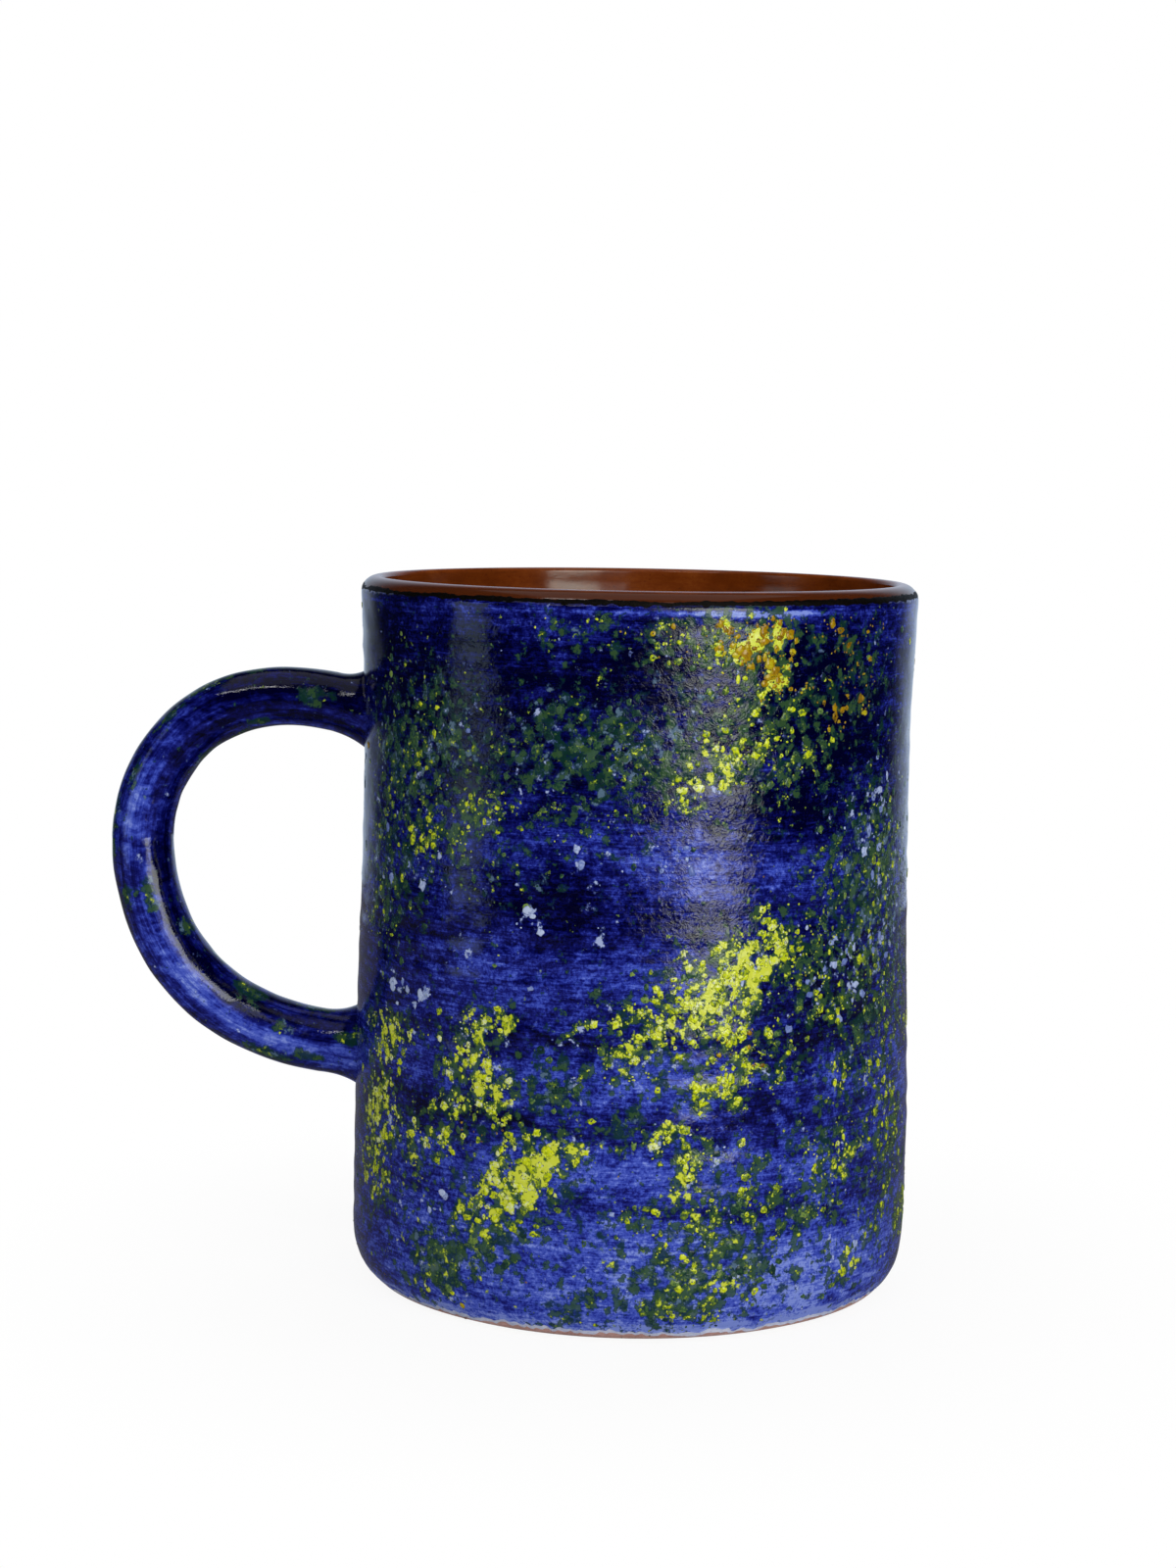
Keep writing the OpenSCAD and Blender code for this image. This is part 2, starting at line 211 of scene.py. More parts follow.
def setShare(piece, name, values, kind="FLOAT"):
    layer = piece.data.attributes.new(name, kind, "POINT")
    field = "vector" if kind == "FLOAT_VECTOR" else "value"
    layer.data.foreach_set(field, np.asarray(values, np.float32).ravel())


# Node helpers

def feed(tree, socket, value):
    if isinstance(value, bpy.types.NodeSocket):
        tree.links.new(value, socket)
    else:
        socket.default_value = value


def addNode(tree, kind, inputs=None, **settings):
    node = tree.nodes.new(kind)
    for key, value in settings.items():
        setattr(node, key, value)
    for key, value in (inputs or {}).items():
        feed(tree, node.inputs[key], value)
    return node


def calc(tree, operation, a, b=0.0):
    return addNode(tree, "ShaderNodeMath", {0: a, 1: b}, operation=operation).outputs[0]


def plus(tree, a, b):
    return calc(tree, "ADD", a, b)


def minus(tree, a, b):
    return calc(tree, "SUBTRACT", a, b)


def times(tree, a, b):
    return calc(tree, "MULTIPLY", a, b)


def step(tree, value, low, high):
    inputs = {"Value": value, "From Min": low, "From Max": high, "To Min": 0.0, "To Max": 1.0}
    return addNode(tree, "ShaderNodeMapRange", inputs, interpolation_type="SMOOTHSTEP").outputs[0]


def noise(tree, vector, scale, detail=3.0, rough=0.55, warp=0.0):
    inputs = {"Vector": vector, "Scale": scale, "Detail": detail, "Roughness": rough, "Distortion": warp}
    return addNode(tree, "ShaderNodeTexNoise", inputs).outputs["Fac"]


def stretch(tree, vector, amounts):
    node = addNode(tree, "ShaderNodeVectorMath", {0: vector, 1: amounts}, operation="MULTIPLY")
    return node.outputs[0]


def blend(tree, share, low, high):
    node = addNode(tree, "ShaderNodeMix", {"Factor": share}, data_type="RGBA")
    feed(tree, node.inputs[6], low)
    feed(tree, node.inputs[7], high)
    return node.outputs[2]


def ramp(tree, share, stops):
    node = addNode(tree, "ShaderNodeValToRGB", {"Fac": share})
    elements = node.color_ramp.elements
    elements[0].position, elements[0].color = stops[0]
    elements[1].position, elements[1].color = stops[-1]
    for position, colour in stops[1:-1]:
        elements.new(position).color = colour
    return node.outputs["Color"]


def attribute(tree, name, vector=False):
    node = addNode(tree, "ShaderNodeAttribute", attribute_name=name)
    return node.outputs["Vector" if vector else "Fac"]


def tint(red, green, blue):
    # an 8-bit colour as it is seen, made linear
    def linear(value):
        value = value / 255
        return value / 12.92 if value <= 0.04045 else ((value + 0.055) / 1.055) ** 2.4
    return (linear(red), linear(green), linear(blue), 1.0)


def newGroup(name, inputs, outputs):
    group = bpy.data.node_groups.new(name, "ShaderNodeTree")
    for title, kind, value in inputs:
        socket = group.interface.new_socket(title, in_out="INPUT", socket_type=kind)
        if value is not None:
            socket.default_value = value
    for title, kind in outputs:
        group.interface.new_socket(title, in_out="OUTPUT", socket_type=kind)
    start = group.nodes.new("NodeGroupInput")
    end = group.nodes.new("NodeGroupOutput")
    return group, start.outputs, end.inputs


def useGroup(tree, group, inputs):
    node = tree.nodes.new("ShaderNodeGroup")
    node.node_tree = group
    for key, value in inputs.items():
        feed(tree, node.inputs[key], value)
    return node.outputs


def newMaterial(name):
    material = bpy.data.materials.new(name)
    material.use_nodes = True
    tree = material.node_tree
    tree.nodes.clear()
    shader = tree.nodes.new("ShaderNodeBsdfPrincipled")
    out = tree.nodes.new("ShaderNodeOutputMaterial")
    tree.links.new(shader.outputs[0], out.inputs["Surface"])
    place = addNode(tree, "ShaderNodeTexCoord").outputs["Object"]
    place = stretch(tree, place, (1000, 1000, 1000))  # millimetres
    return material, tree, shader, place


vectorKind, floatKind = "NodeSocketVector", "NodeSocketFloat"

# Effects that the finishes share

def makeBrushMarks():
    # long thin streaks along the stroke, a fine weave, a mottle and broad patches
    t, given, made = newGroup(
        "brushMarks",
        [("Place", vectorKind, None), ("Stroke", vectorKind, None), ("Streaks", floatKind, 0.5),
         ("Weave", floatKind, 0.3), ("Mottle", floatKind, 0.5), ("Patches", floatKind, 0.5)],
        [("Tone", floatKind), ("Height", floatKind)])
    streakA = noise(t, given["Stroke"], 2.2, 4, 0.65)
    streakB = noise(t, stretch(t, given["Stroke"], (3, 3, 1)), 5.5, 2, 0.6)
    weave = noise(t, given["Place"], 2.3, 2, 0.7)
    mottle = noise(t, stretch(t, given["Place"], (1, 1, 1.7)), 0.5, 5, 0.62, 0.5)
    patches = noise(t, stretch(t, given["Place"], (1, 1, 2.4)), 0.085, 3, 0.6, 0.6)
    streaks = plus(t, times(t, streakA, 0.65), times(t, streakB, 0.35))
    tone = 0.5
    for field, share in ((streaks, "Streaks"), (weave, "Weave"), (mottle, "Mottle"), (patches, "Patches")):
        tone = plus(t, times(t, minus(t, field, 0.5), given[share]), tone)
    t.links.new(tone, made["Tone"])
    t.links.new(plus(t, times(t, streaks, 0.6), times(t, weave, 0.4)), made["Height"])
    return t


def makeSpongeDabs():
    # ragged crumbs of colour whose share of the surface follows a drift
    t, given, made = newGroup(
        "spongeDabs",
        [("Place", vectorKind, None), ("Size", floatKind, 1.0), ("Drift", floatKind, 0.5),
         ("Softness", floatKind, 0.05), ("Rare", floatKind, 0.72), ("Spread", floatKind, 0.26)],
        [("Mask", floatKind), ("Core", floatKind)])
    spots = addNode(t, "ShaderNodeTexVoronoi", {
        "Vector": given["Place"], "Scale": calc(t, "DIVIDE", 0.8, given["Size"]), "Randomness": 1.0})
    frayed = noise(t, given["Place"], calc(t, "DIVIDE", 1.0, given["Size"]), 3, 0.7)
    crumbs = plus(t, frayed, times(t, minus(t, 0.42, spots.outputs["Distance"]), 0.3))
    limit = minus(t, given["Rare"], times(t, given["Drift"], given["Spread"]))
    over = minus(t, crumbs, limit)
    t.links.new(step(t, over, 0.0, given["Softness"]), made["Mask"])
    t.links.new(step(t, over, 0.07, 0.11), made["Core"])
    return t


def makeGlazeRelief():
    # orange peel, pinholes and the wrinkles that sponging leaves
    t, given, made = newGroup(
        "glazeRelief",
        [("Place", vectorKind, None), ("Wrinkles", floatKind, 0.3)],
        [("Height", floatKind), ("Pinholes", floatKind), ("Gloss", floatKind)])
    peel = noise(t, given["Place"], 0.35, 3, 0.5)
    crease = calc(t, "ABSOLUTE", minus(t, noise(t, given["Place"], 0.7, 3, 0.55, 1.3), 0.5))
    wrinkle = times(t, crease, 2.4)
    pits = addNode(t, "ShaderNodeTexVoronoi", {"Vector": given["Place"], "Scale": 0.42, "Randomness": 1.0})
    pinholes = step(t, pits.outputs["Distance"], 0.09, 0.05)
    body = plus(t, times(t, peel, 0.4), times(t, wrinkle, given["Wrinkles"]))
    t.links.new(minus(t, body, times(t, pinholes, 0.12)), made["Height"])
    t.links.new(pinholes, made["Pinholes"])
    t.links.new(noise(t, given["Place"], 0.12, 3, 0.6), made["Gloss"])
    return t


def makeClayGrain():
    # grog specks, a fine tooth, and smears
    t, given, made = newGroup(
        "clayGrain",
        [("Place", vectorKind, None), ("Coarse", floatKind, 1.0)],
        [("Tone", floatKind), ("Specks", floatKind), ("Height", floatKind)])
    grain = noise(t, given["Place"], calc(t, "DIVIDE", 3.0, given["Coarse"]), 5, 0.7)
    smear = noise(t, given["Place"], 0.16, 3, 0.6)
    grog = addNode(t, "ShaderNodeTexVoronoi", {"Vector": given["Place"], "Scale": 1.1, "Randomness": 1.0})
    specks = step(t, grog.outputs["Distance"], 0.2, 0.1)
    t.links.new(plus(t, times(t, grain, 0.5), times(t, smear, 0.5)), made["Tone"])
    t.links.new(specks, made["Specks"])
    t.links.new(plus(t, grain, times(t, specks, 0.3)), made["Height"])
    return t


brushMarks = makeBrushMarks()
spongeDabs = makeSpongeDabs()
glazeRelief = makeGlazeRelief()
clayGrain = makeClayGrain()
print("node groups made")

# Finishes

def dressShader(tree, shader, look, colour, shine, height):
    # roughness goes from the one value to the other as the shine field goes between its two ends
    start, end = look.get("shineBetween", (0.0, 1.0))
    low, high = look["roughness"]
    rough = addNode(tree, "ShaderNodeMapRange", {"Value": shine, "From Min": start, "From Max": end,
                                                 "To Min": low, "To Max": high})
    bump = addNode(tree, "ShaderNodeBump", {"Strength": look["bump"], "Distance": look["bumpDepth"] * mm,
                                            "Height": height})
    tree.links.new(colour, shader.inputs["Base Color"])
    tree.links.new(rough.outputs[0], shader.inputs["Roughness"])
    tree.links.new(bump.outputs[0], shader.inputs["Normal"])
    shader.inputs["Specular IOR Level"].default_value = look["specular"]


blueFinish = {
    "black": tint(0, 0, 30),
    "navy": tint(4, 6, 68),
    "deep": tint(16, 22, 102),
    "middle": tint(34, 45, 140),
    "bright": tint(54, 72, 174),
    "pale": tint(80, 98, 192),
    "milk": tint(120, 138, 208),
    "dabs": {
        "green": {"shift": (5, 3, 8), "size": 2.5, "softness": 0.16, "rare": 0.70, "spread": 0.29,
                  "edge": tint(20, 48, 58), "core": tint(14, 46, 34)},
        "haze": {"shift": (44, -8, 19), "size": 2.0, "softness": 0.14, "rare": 0.72, "spread": 0.27,
                 "edge": tint(44, 64, 100), "core": tint(82, 106, 128)},
        "pale": {"shift": (31, 17, 9), "size": 1.7, "softness": 0.12, "rare": 0.71, "spread": 0.25,
                 "edge": tint(84, 100, 164), "core": tint(160, 174, 212)},
        "moss": {"shift": (-12, 41, 23), "size": 1.45, "softness": 0.07, "rare": 0.68, "spread": 0.25,
                 "edge": tint(18, 44, 48), "core": tint(46, 74, 42)},
        "lemon": {"shift": (22, -31, 13), "size": 1.2, "softness": 0.06, "rare": 0.72, "spread": 0.27,
                  "edge": tint(104, 128, 34), "core": tint(206, 214, 60)},
    },
    "strokes": {"Streaks": 1.2, "Mottle": 1.1, "Patches": 0.7},
    "weave": 0.8,
    "strokeRelief": 0.05,
    "dabRelief": 0.05,
    "dabCover": 0.88,
    "pinholeCover": 0.5,
    "roughness": (0.04, 0.09),
    "shineBetween": (0.3, 0.7),
    "specular": 0.27,
    "bump": 0.26,
    "bumpDepth": 0.35,
}


def makeBlueGlaze():
    f = blueFinish
    material, t, shader, place = newMaterial("brushedBlueGlaze")
    weave = times(t, attribute(t, "grain"), f["weave"])
    brush = useGroup(t, brushMarks, {"Place": place, "Stroke": attribute(t, "stroke", vector=True),
                                     "Weave": weave, **f["strokes"]})
    # loadAndSheen lifts the tone where the blue lies thin and where a highlight or reflection is painted in
    tone = plus(t, brush["Tone"], attribute(t, "loadAndSheen"))
    colour = ramp(t, tone, [(0.08, f["black"]), (0.28, f["navy"]), (0.44, f["deep"]), (0.58, f["middle"]),
                            (0.72, f["bright"]), (0.88, f["pale"]), (1.0, f["milk"])])
    relief = useGroup(t, glazeRelief, {"Place": place, "Wrinkles": attribute(t, "wrinkle")})
    height = plus(t, relief["Height"], times(t, brush["Height"], f["strokeRelief"]))
    for name, look in f["dabs"].items():
        moved = addNode(t, "ShaderNodeVectorMath", {0: place, 1: look["shift"]}).outputs[0]
        dab = useGroup(t, spongeDabs, {"Place": moved, "Size": look["size"], "Drift": attribute(t, name),
                                       "Softness": look["softness"], "Rare": look["rare"],
                                       "Spread": look["spread"]})
        own = blend(t, dab["Core"], look["edge"], look["core"])
        colour = blend(t, times(t, dab["Mask"], f["dabCover"]), colour, own)
        height = plus(t, height, times(t, dab["Mask"], f["dabRelief"]))
    colour = blend(t, times(t, relief["Pinholes"], f["pinholeCover"]), colour, f["navy"])
    dressShader(t, shader, f, colour, relief["Gloss"], height)
    return material


honeyFinish = {
    "dark": tint(84, 34, 3),
    "body": tint(112, 50, 10),
    "light": tint(140, 72, 24),
    "speck": tint(48, 20, 6),
    "pooled": tint(70, 30, 8),
    "strokes": {"Streaks": 0.35, "Weave": 0.2, "Mottle": 0.2, "Patches": 0.8},
    "strokeAcross": 0.05,
    "speckCover": 0.35,
    "wrinkles": 0.1,
    "roughness": (0.08, 0.2),
    "specular": 0.3,
    "bump": 0.12,
    "bumpDepth": 0.3,
}


def makeHoneyGlaze():
    f = honeyFinish
    material, t, shader, place = newMaterial("honeyGlaze")
    stroke = stretch(t, place, (f["strokeAcross"], f["strokeAcross"], 1))
    brush = useGroup(t, brushMarks, {"Place": place, "Stroke": stroke, **f["strokes"]})
    colour = ramp(t, brush["Tone"], [(0.25, f["dark"]), (0.5, f["body"]), (0.8, f["light"])])
    grain = useGroup(t, clayGrain, {"Place": place, "Coarse": 1.2})
    colour = blend(t, times(t, grain["Specks"], f["speckCover"]), colour, f["speck"])
    pool = step(t, plus(t, attribute(t, "pool"), times(t, grain["Tone"], 0.5)), 0.35, 1.2)
    colour = blend(t, pool, colour, f["pooled"])
    relief = useGroup(t, glazeRelief, {"Place": place, "Wrinkles": f["wrinkles"]})
    dressShader(t, shader, f, colour, relief["Gloss"], relief["Height"])
    return material


# The dabs' tones run from the palest to the darkest. The rim shows the glaze that a dab melted into
dabFinish = {
    "mottle": 1.5,
    "fray": 0.9,
    "holeCover": 0.85,
    "wrinkles": 0.3,
    "roughness": (0.098, 0.224),
    "specular": 0.25,
    "bump": 0.25,
    "bumpDepth": 0.25,
    "colours": {
        "yellow": {"tones": [(0.02, tint(206, 214, 186)), (0.2, tint(198, 208, 108)),
                             (0.38, tint(206, 216, 22)), (0.6, tint(166, 182, 14)),
                             (0.78, tint(94, 118, 40)), (0.95, tint(52, 80, 56))],
                   "rim": tint(52, 80, 48), "hole": tint(30, 54, 48), "holes": 1.0},
        "green": {"tones": [(0.08, tint(112, 138, 62)), (0.3, tint(58, 90, 54)), (0.58, tint(26, 58, 46)),
                            (0.9, tint(10, 32, 38))],
                  "rim": tint(26, 44, 78), "hole": tint(14, 28, 48), "holes": 0.5},
        "ochre": {"tones": [(0.1, tint(174, 162, 22)), (0.4, tint(160, 134, 8)), (0.7, tint(146, 110, 4)),
                            (0.95, tint(104, 78, 8))],
                  "rim": tint(92, 86, 24), "hole": tint(62, 62, 22), "holes": 0.6},
        "white": {"tones": [(0.1, tint(172, 186, 216)), (0.5, tint(122, 140, 192)),
                            (0.9, tint(84, 102, 164))],
                  "rim": tint(66, 80, 150), "hole": tint(74, 90, 150), "holes": 0.2},
    },
}


def makeDabGlaze(name, look):
    f = dabFinish
    material, t, shader, place = newMaterial(name + "Dabs")
    mottle = minus(t, noise(t, place, 2.2, 3, 0.65), 0.5)
    tone = plus(t, attribute(t, "tone"), times(t, mottle, f["mottle"]))
    colour = ramp(t, tone, look["tones"])
    fray = minus(t, noise(t, place, 3.2, 2, 0.7), 0.5)
    melt = step(t, plus(t, attribute(t, "rim"), times(t, fray, f["fray"])), 0.6, 1.05)
    colour = blend(t, melt, colour, look["rim"])
    relief = useGroup(t, glazeRelief, {"Place": place, "Wrinkles": f["wrinkles"]})
    hole = step(t, noise(t, place, 2.0, 3, 0.7), 0.64 - 0.1 * look["holes"], 0.72 - 0.1 * look["holes"])
    colour = blend(t, times(t, hole, f["holeCover"]), colour, look["hole"])
    dressShader(t, shader, f, colour, relief["Gloss"], relief["Height"])
    return material


clayFinish = {
    "bareRedClay": {"dark": tint(148, 106, 98), "body": tint(184, 144, 134), "light": tint(206, 174, 168),
                    "coarse": 1.0, "roughness": (0.63, 0.87), "specular": 0.25},
    "joiningSlip": {"dark": tint(128, 80, 62), "body": tint(158, 106, 84), "light": tint(180, 130, 108),
                    "coarse": 1.4, "roughness": (0.68, 0.92), "specular": 0.25},
    "whiteSlip": {"dark": tint(150, 156, 184), "body": tint(188, 194, 216), "light": tint(216, 218, 230),
                  "coarse": 1.6, "roughness": (0.48, 0.72), "specular": 0.25},
    "burntRim": {"dark": tint(2, 1, 1), "body": tint(6, 4, 3), "light": tint(16, 9, 5),
                 "coarse": 1.0, "roughness": (0.3, 0.54), "specular": 0.05},
}
clayRelief = {"bump": 0.5, "bumpDepth": 0.25}


def makeClay(name, look):
    material, t, shader, place = newMaterial(name)
    grain = useGroup(t, clayGrain, {"Place": place, "Coarse": look["coarse"]})
    colour = ramp(t, grain["Tone"], [(0.3, look["dark"]), (0.5, look["body"]), (0.72, look["light"])])
    colour = blend(t, times(t, grain["Specks"], 0.4), colour, look["dark"])
    wireMarks = noise(t, stretch(t, place, (0.3, 2.2, 1)), 0.5, 3, 0.6, 0.8)
    height = plus(t, grain["Height"], wireMarks)
    dressShader(t, shader, {**look, **clayRelief}, colour, grain["Tone"], height)
    return material


blueGlaze = makeBlueGlaze()
honeyGlaze = makeHoneyGlaze()
clays = {name: makeClay(name, look) for name, look in clayFinish.items()}
dabGlazes = {name: makeDabGlaze(name, look) for name, look in dabFinish["colours"].items()}
print("materials made")

# Drifts of dabbed colour: turn in degrees with -90 at the front, height as a share of the pot's,
# how wide in degrees, how tall as a share, slant, strength, and tone from pale to dark
yellowDrifts = [
    (-138, 0.79, 8, 0.04, 0, 0.34, 0.9), (-150, 0.7, 6, 0.06, 0, 0.36, 0.92),
    (-151, 0.57, 5, 0.05, 0, 0.36, 0.9), (-128, 0.69, 6, 0.02, 0, 0.4, 0.8),
    (-30, 0.64, 6, 0.05, 0, 0.45, 0.9), (-46, 0.62, 6, 0.03, 0, 0.4, 0.85),
    (-34, 0.36, 7, 0.04, 0, 0.45, 0.85), (-25, 0.26, 6, 0.06, 0, 0.66, 0.75),
    (-56, 0.52, 4, 0.03, 0.3, 0.5, 0.75), (-98, 0.84, 5, 0.02, 0, 0.3, 0.8),
    (-104, 0.93, 5, 0.015, 0, 0.2, 0.7), (-112, 0.15, 7, 0.02, 0.4, 0.35, 0.7),
    (-60, 0.09, 4, 0.012, 0.4, 0.4, 0.6), (-84, 0.17, 8, 0.02, 0.3, 0.35, 0.65),
    (-96, 0.05, 8, 0.015, 0, 0.3, 0.7), (-86, 0.936, 2.8, 0.01, 0, 0.65, 0.6),
    (-74, 0.93, 5, 0.03, 0, 0.7, 0.7), (-66, 0.84, 5, 0.045, 0, 0.66, 0.7),
    (-73.5, 0.767, 4, 0.024, 0.2, 1.0, 0.5), (-80, 0.738, 5, 0.014, 0.6, 0.6, 0.45),
    (-57, 0.795, 6, 0.03, 0.2, 0.6, 0.78), (-52, 0.775, 5, 0.02, 0, 0.3, 0.85),
    (-63, 0.735, 3, 0.014, 0, 0.7, 0.6), (-103, 0.705, 14, 0.012, 0.1, 0.35, 0.65),
    (-137, 0.665, 7, 0.026, 0.2, 0.6, 0.62), (-128, 0.67, 5, 0.03, 0, 0.5, 0.7),
    (-132, 0.77, 9, 0.03, 0, 0.3, 0.9), (-120, 0.413, 5, 0.016, 0.3, 0.85, 0.38),
    (-122, 0.355, 6, 0.03, -0.4, 0.9, 0.32), (-118, 0.315, 3.4, 0.024, 0, 0.8, 0.4),
    (-127, 0.3, 4, 0.016, 0, 0.75, 0.45), (-149, 0.37, 6, 0.03, 0.3, 0.8, 0.42),
    (-110, 0.222, 6, 0.028, 0.9, 1.5, 0.46), (-117, 0.175, 4, 0.02, 0.9, 1.1, 0.5),
    (-103, 0.255, 3, 0.014, 0.8, 0.7, 0.5), (-84, 0.445, 7, 0.026, 0.5, 0.85, 0.52),
    (-76, 0.468, 7, 0.036, 0.6, 1.15, 0.44), (-67, 0.5, 6, 0.038, 0.5, 1.4, 0.44),
    (-73, 0.425, 6, 0.016, 0.2, 1.0, 0.5), (-61, 0.545, 4, 0.018, 0.3, 0.6, 0.55),
    (-72, 0.345, 6, 0.012, 0, 0.95, 0.58), (-80, 0.28, 4, 0.012, 0, 0.6, 0.4),
    (-79.5, 0.235, 2.6, 0.026, -0.8, 0.75, 0.5), (-75, 0.17, 3.4, 0.026, -0.5, 0.75, 0.6),
    (-79, 0.12, 3, 0.016, 0, 0.6, 0.65), (-88, 0.4, 7, 0.03, 0.3, 0.7, 0.45),
    (-76, 0.25, 4, 0.016, 0, 0.45, 0.4), (-45, 0.235, 7, 0.026, 0.5, 0.6, 0.55),
    (-43, 0.345, 5, 0.018, 0, 0.5, 0.5), (-50, 0.53, 5, 0.02, 0, 0.6, 0.7),
    (-48, 0.455, 6, 0.026, 0, 0.62, 0.7), (-36, 0.5, 7, 0.06, 0, 0.5, 0.85),
    (-70, 0.075, 4, 0.018, 0.5, 0.7, 0.55), (-75, 0.155, 4, 0.014, 0, 0.5, 0.65),
    (-53, 0.155, 6, 0.014, 0.6, 0.5, 0.55), (-42, 0.085, 4, 0.014, 0.6, 0.55, 0.5),
    (-27, 0.16, 5, 0.03, 0.9, 0.6, 0.7), (-152, 0.27, 6, 0.045, 0, 0.8, 0.42),
    (-154, 0.18, 6, 0.03, 0, 0.6, 0.55), (-91, 0.13, 1.5, 0.01, 0, 0.7, 0.5),
    (-133, 0.055, 6, 0.012, 0, 0.35, 0.5), (-101, 0.435, 1.6, 0.009, 0, 0.7, 0.5),
    (-92, 0.37, 1.5, 0.008, 0, 0.7, 0.5), (-24, 0.42, 9, 0.05, 0, 0.5, 0.85),
    (-67, 0.8, 4, 0.02, 0, 0.7, 0.7), (-60, 0.85, 5, 0.02, 0.3, 0.55, 0.8),
    (-79, 0.055, 5, 0.018, 0.3, 0.8, 0.6), (-134, 0.25, 5, 0.022, 0.3, 0.75, 0.42),
    (-121, 0.705, 6, 0.02, 0.1, 0.6, 0.62), (-98, 0.945, 8, 0.012, 0, 0.35, 0.6),
    (-54, 0.5, 6, 0.03, 0, 0.6, 0.6), (-66, 0.385, 6, 0.02, 0.2, 0.8, 0.6),
    (-66, 0.185, 5, 0.018, 0.3, 0.6, 0.65), (-67, 0.245, 4, 0.014, 0, 0.55, 0.6),
]
ochreDrifts = [
    (-66.5, 0.94, 4.2, 0.023, -0.2, 2.1, 0.6), (-62, 0.9, 3, 0.024, -0.5, 1.25, 0.5),
    (-71, 0.925, 2.6, 0.022, 0, 0.9, 0.2), (-86, 0.94, 4, 0.012, 0, 0.5, 0.4),
    (-44, 0.93, 6, 0.018, 0, 0.6, 0.8), (-45, 0.86, 5, 0.028, 0.2, 0.5, 0.7),
    (-70, 0.395, 4, 0.01, 0, 0.45, 0.8), (-119, 0.275, 3, 0.012, 0, 0.4, 0.8),
]
greenDrifts = [
    (-150, 0.6, 9, 0.07, 0, 1.0, 0.6), (-32, 0.6, 13, 0.1, 0, 1.3, 0.45),
    (-30, 0.7, 10, 0.06, 0, 0.75, 0.7), (-25, 0.24, 8, 0.06, 0.8, 0.8, 0.6),
    (-118, 0.24, 12, 0.03, 0.3, 0.55, 0.5), (-70, 0.42, 14, 0.025, 0.4, 0.55, 0.6),
    (-58, 0.9, 10, 0.03, 0, 0.5, 0.7), (-105, 0.15, 14, 0.03, 0, 0.4, 0.4),
    (-58, 0.07, 9, 0.02, 0, 0.4, 0.4), (-140, 0.18, 12, 0.05, 0, 0.45, 0.5),
    (-143, 0.76, 11, 0.06, 0, 1.2, 0.6), (-134, 0.85, 10, 0.04, 0, 0.8, 0.7),
    (-110, 0.86, 6, 0.018, 0, 0.4, 0.7), (-95, 0.79, 20, 0.055, 0, 1.1, 0.6),
    (-128, 0.79, 9, 0.035, 0, 1.05, 0.5), (-75, 0.83, 8, 0.04, 0, 0.8, 0.5),
    (-95, 0.66, 9, 0.008, 0, 0.6, 0.4), (-82, 0.5, 6, 0.016, 0.6, 0.8, 0.5),
    (-105, 0.35, 6, 0.024, 0, 1.3, 0.6), (-80, 0.085, 7, 0.028, 0, 1.5, 0.5),
    (-67, 0.115, 4, 0.03, 0, 1.4, 0.5), (-75, 0.13, 5, 0.02, 0, 1.2, 0.5),
    (-128, 0.09, 5.5, 0.026, 0, 1.7, 0.4), (-118, 0.13, 5, 0.03, 0.3, 1.1, 0.4),
    (-55, 0.165, 7, 0.024, 0.6, 0.9, 0.5), (-50, 0.27, 7, 0.03, 0.6, 0.9, 0.5),
    (-38, 0.62, 12, 0.05, 0, 0.95, 0.6), (-36, 0.4, 9, 0.08, 0.4, 0.9, 0.6),
    (-27, 0.5, 10, 0.2, 0, 0.85, 0.5), (-88, 0.29, 7, 0.016, 0, 0.8, 0.5),
    (-62, 0.165, 6, 0.02, 0, 0.6, 0.5), (-112, 0.27, 5, 0.016, 0.5, 0.8, 0.5),
    (-140, 0.64, 8, 0.035, 0, 0.95, 0.6), (-98, 0.2, 10, 0.014, 0, 0.45, 0.5),
    (-148, 0.28, 8, 0.05, 0, 0.5, 0.5), (-66, 0.78, 8, 0.05, 0, 0.7, 0.8),
    (-35, 0.88, 7, 0.05, 0, 0.45, 0.8), (-62, 0.37, 6, 0.02, 0, 0.75, 0.6),
    (-66, 0.18, 5, 0.02, 0, 0.85, 0.5), (-66, 0.25, 5, 0.02, 0, 0.7, 0.5),
    (-77, 0.225, 5, 0.02, 0, 0.6, 0.5), (-98, 0.94, 10, 0.015, 0, 0.5, 0.6),
    (-52, 0.47, 7, 0.03, 0, 0.6, 0.6), (-116, 0.63, 9, 0.03, 0, 0.55, 0.5),
]
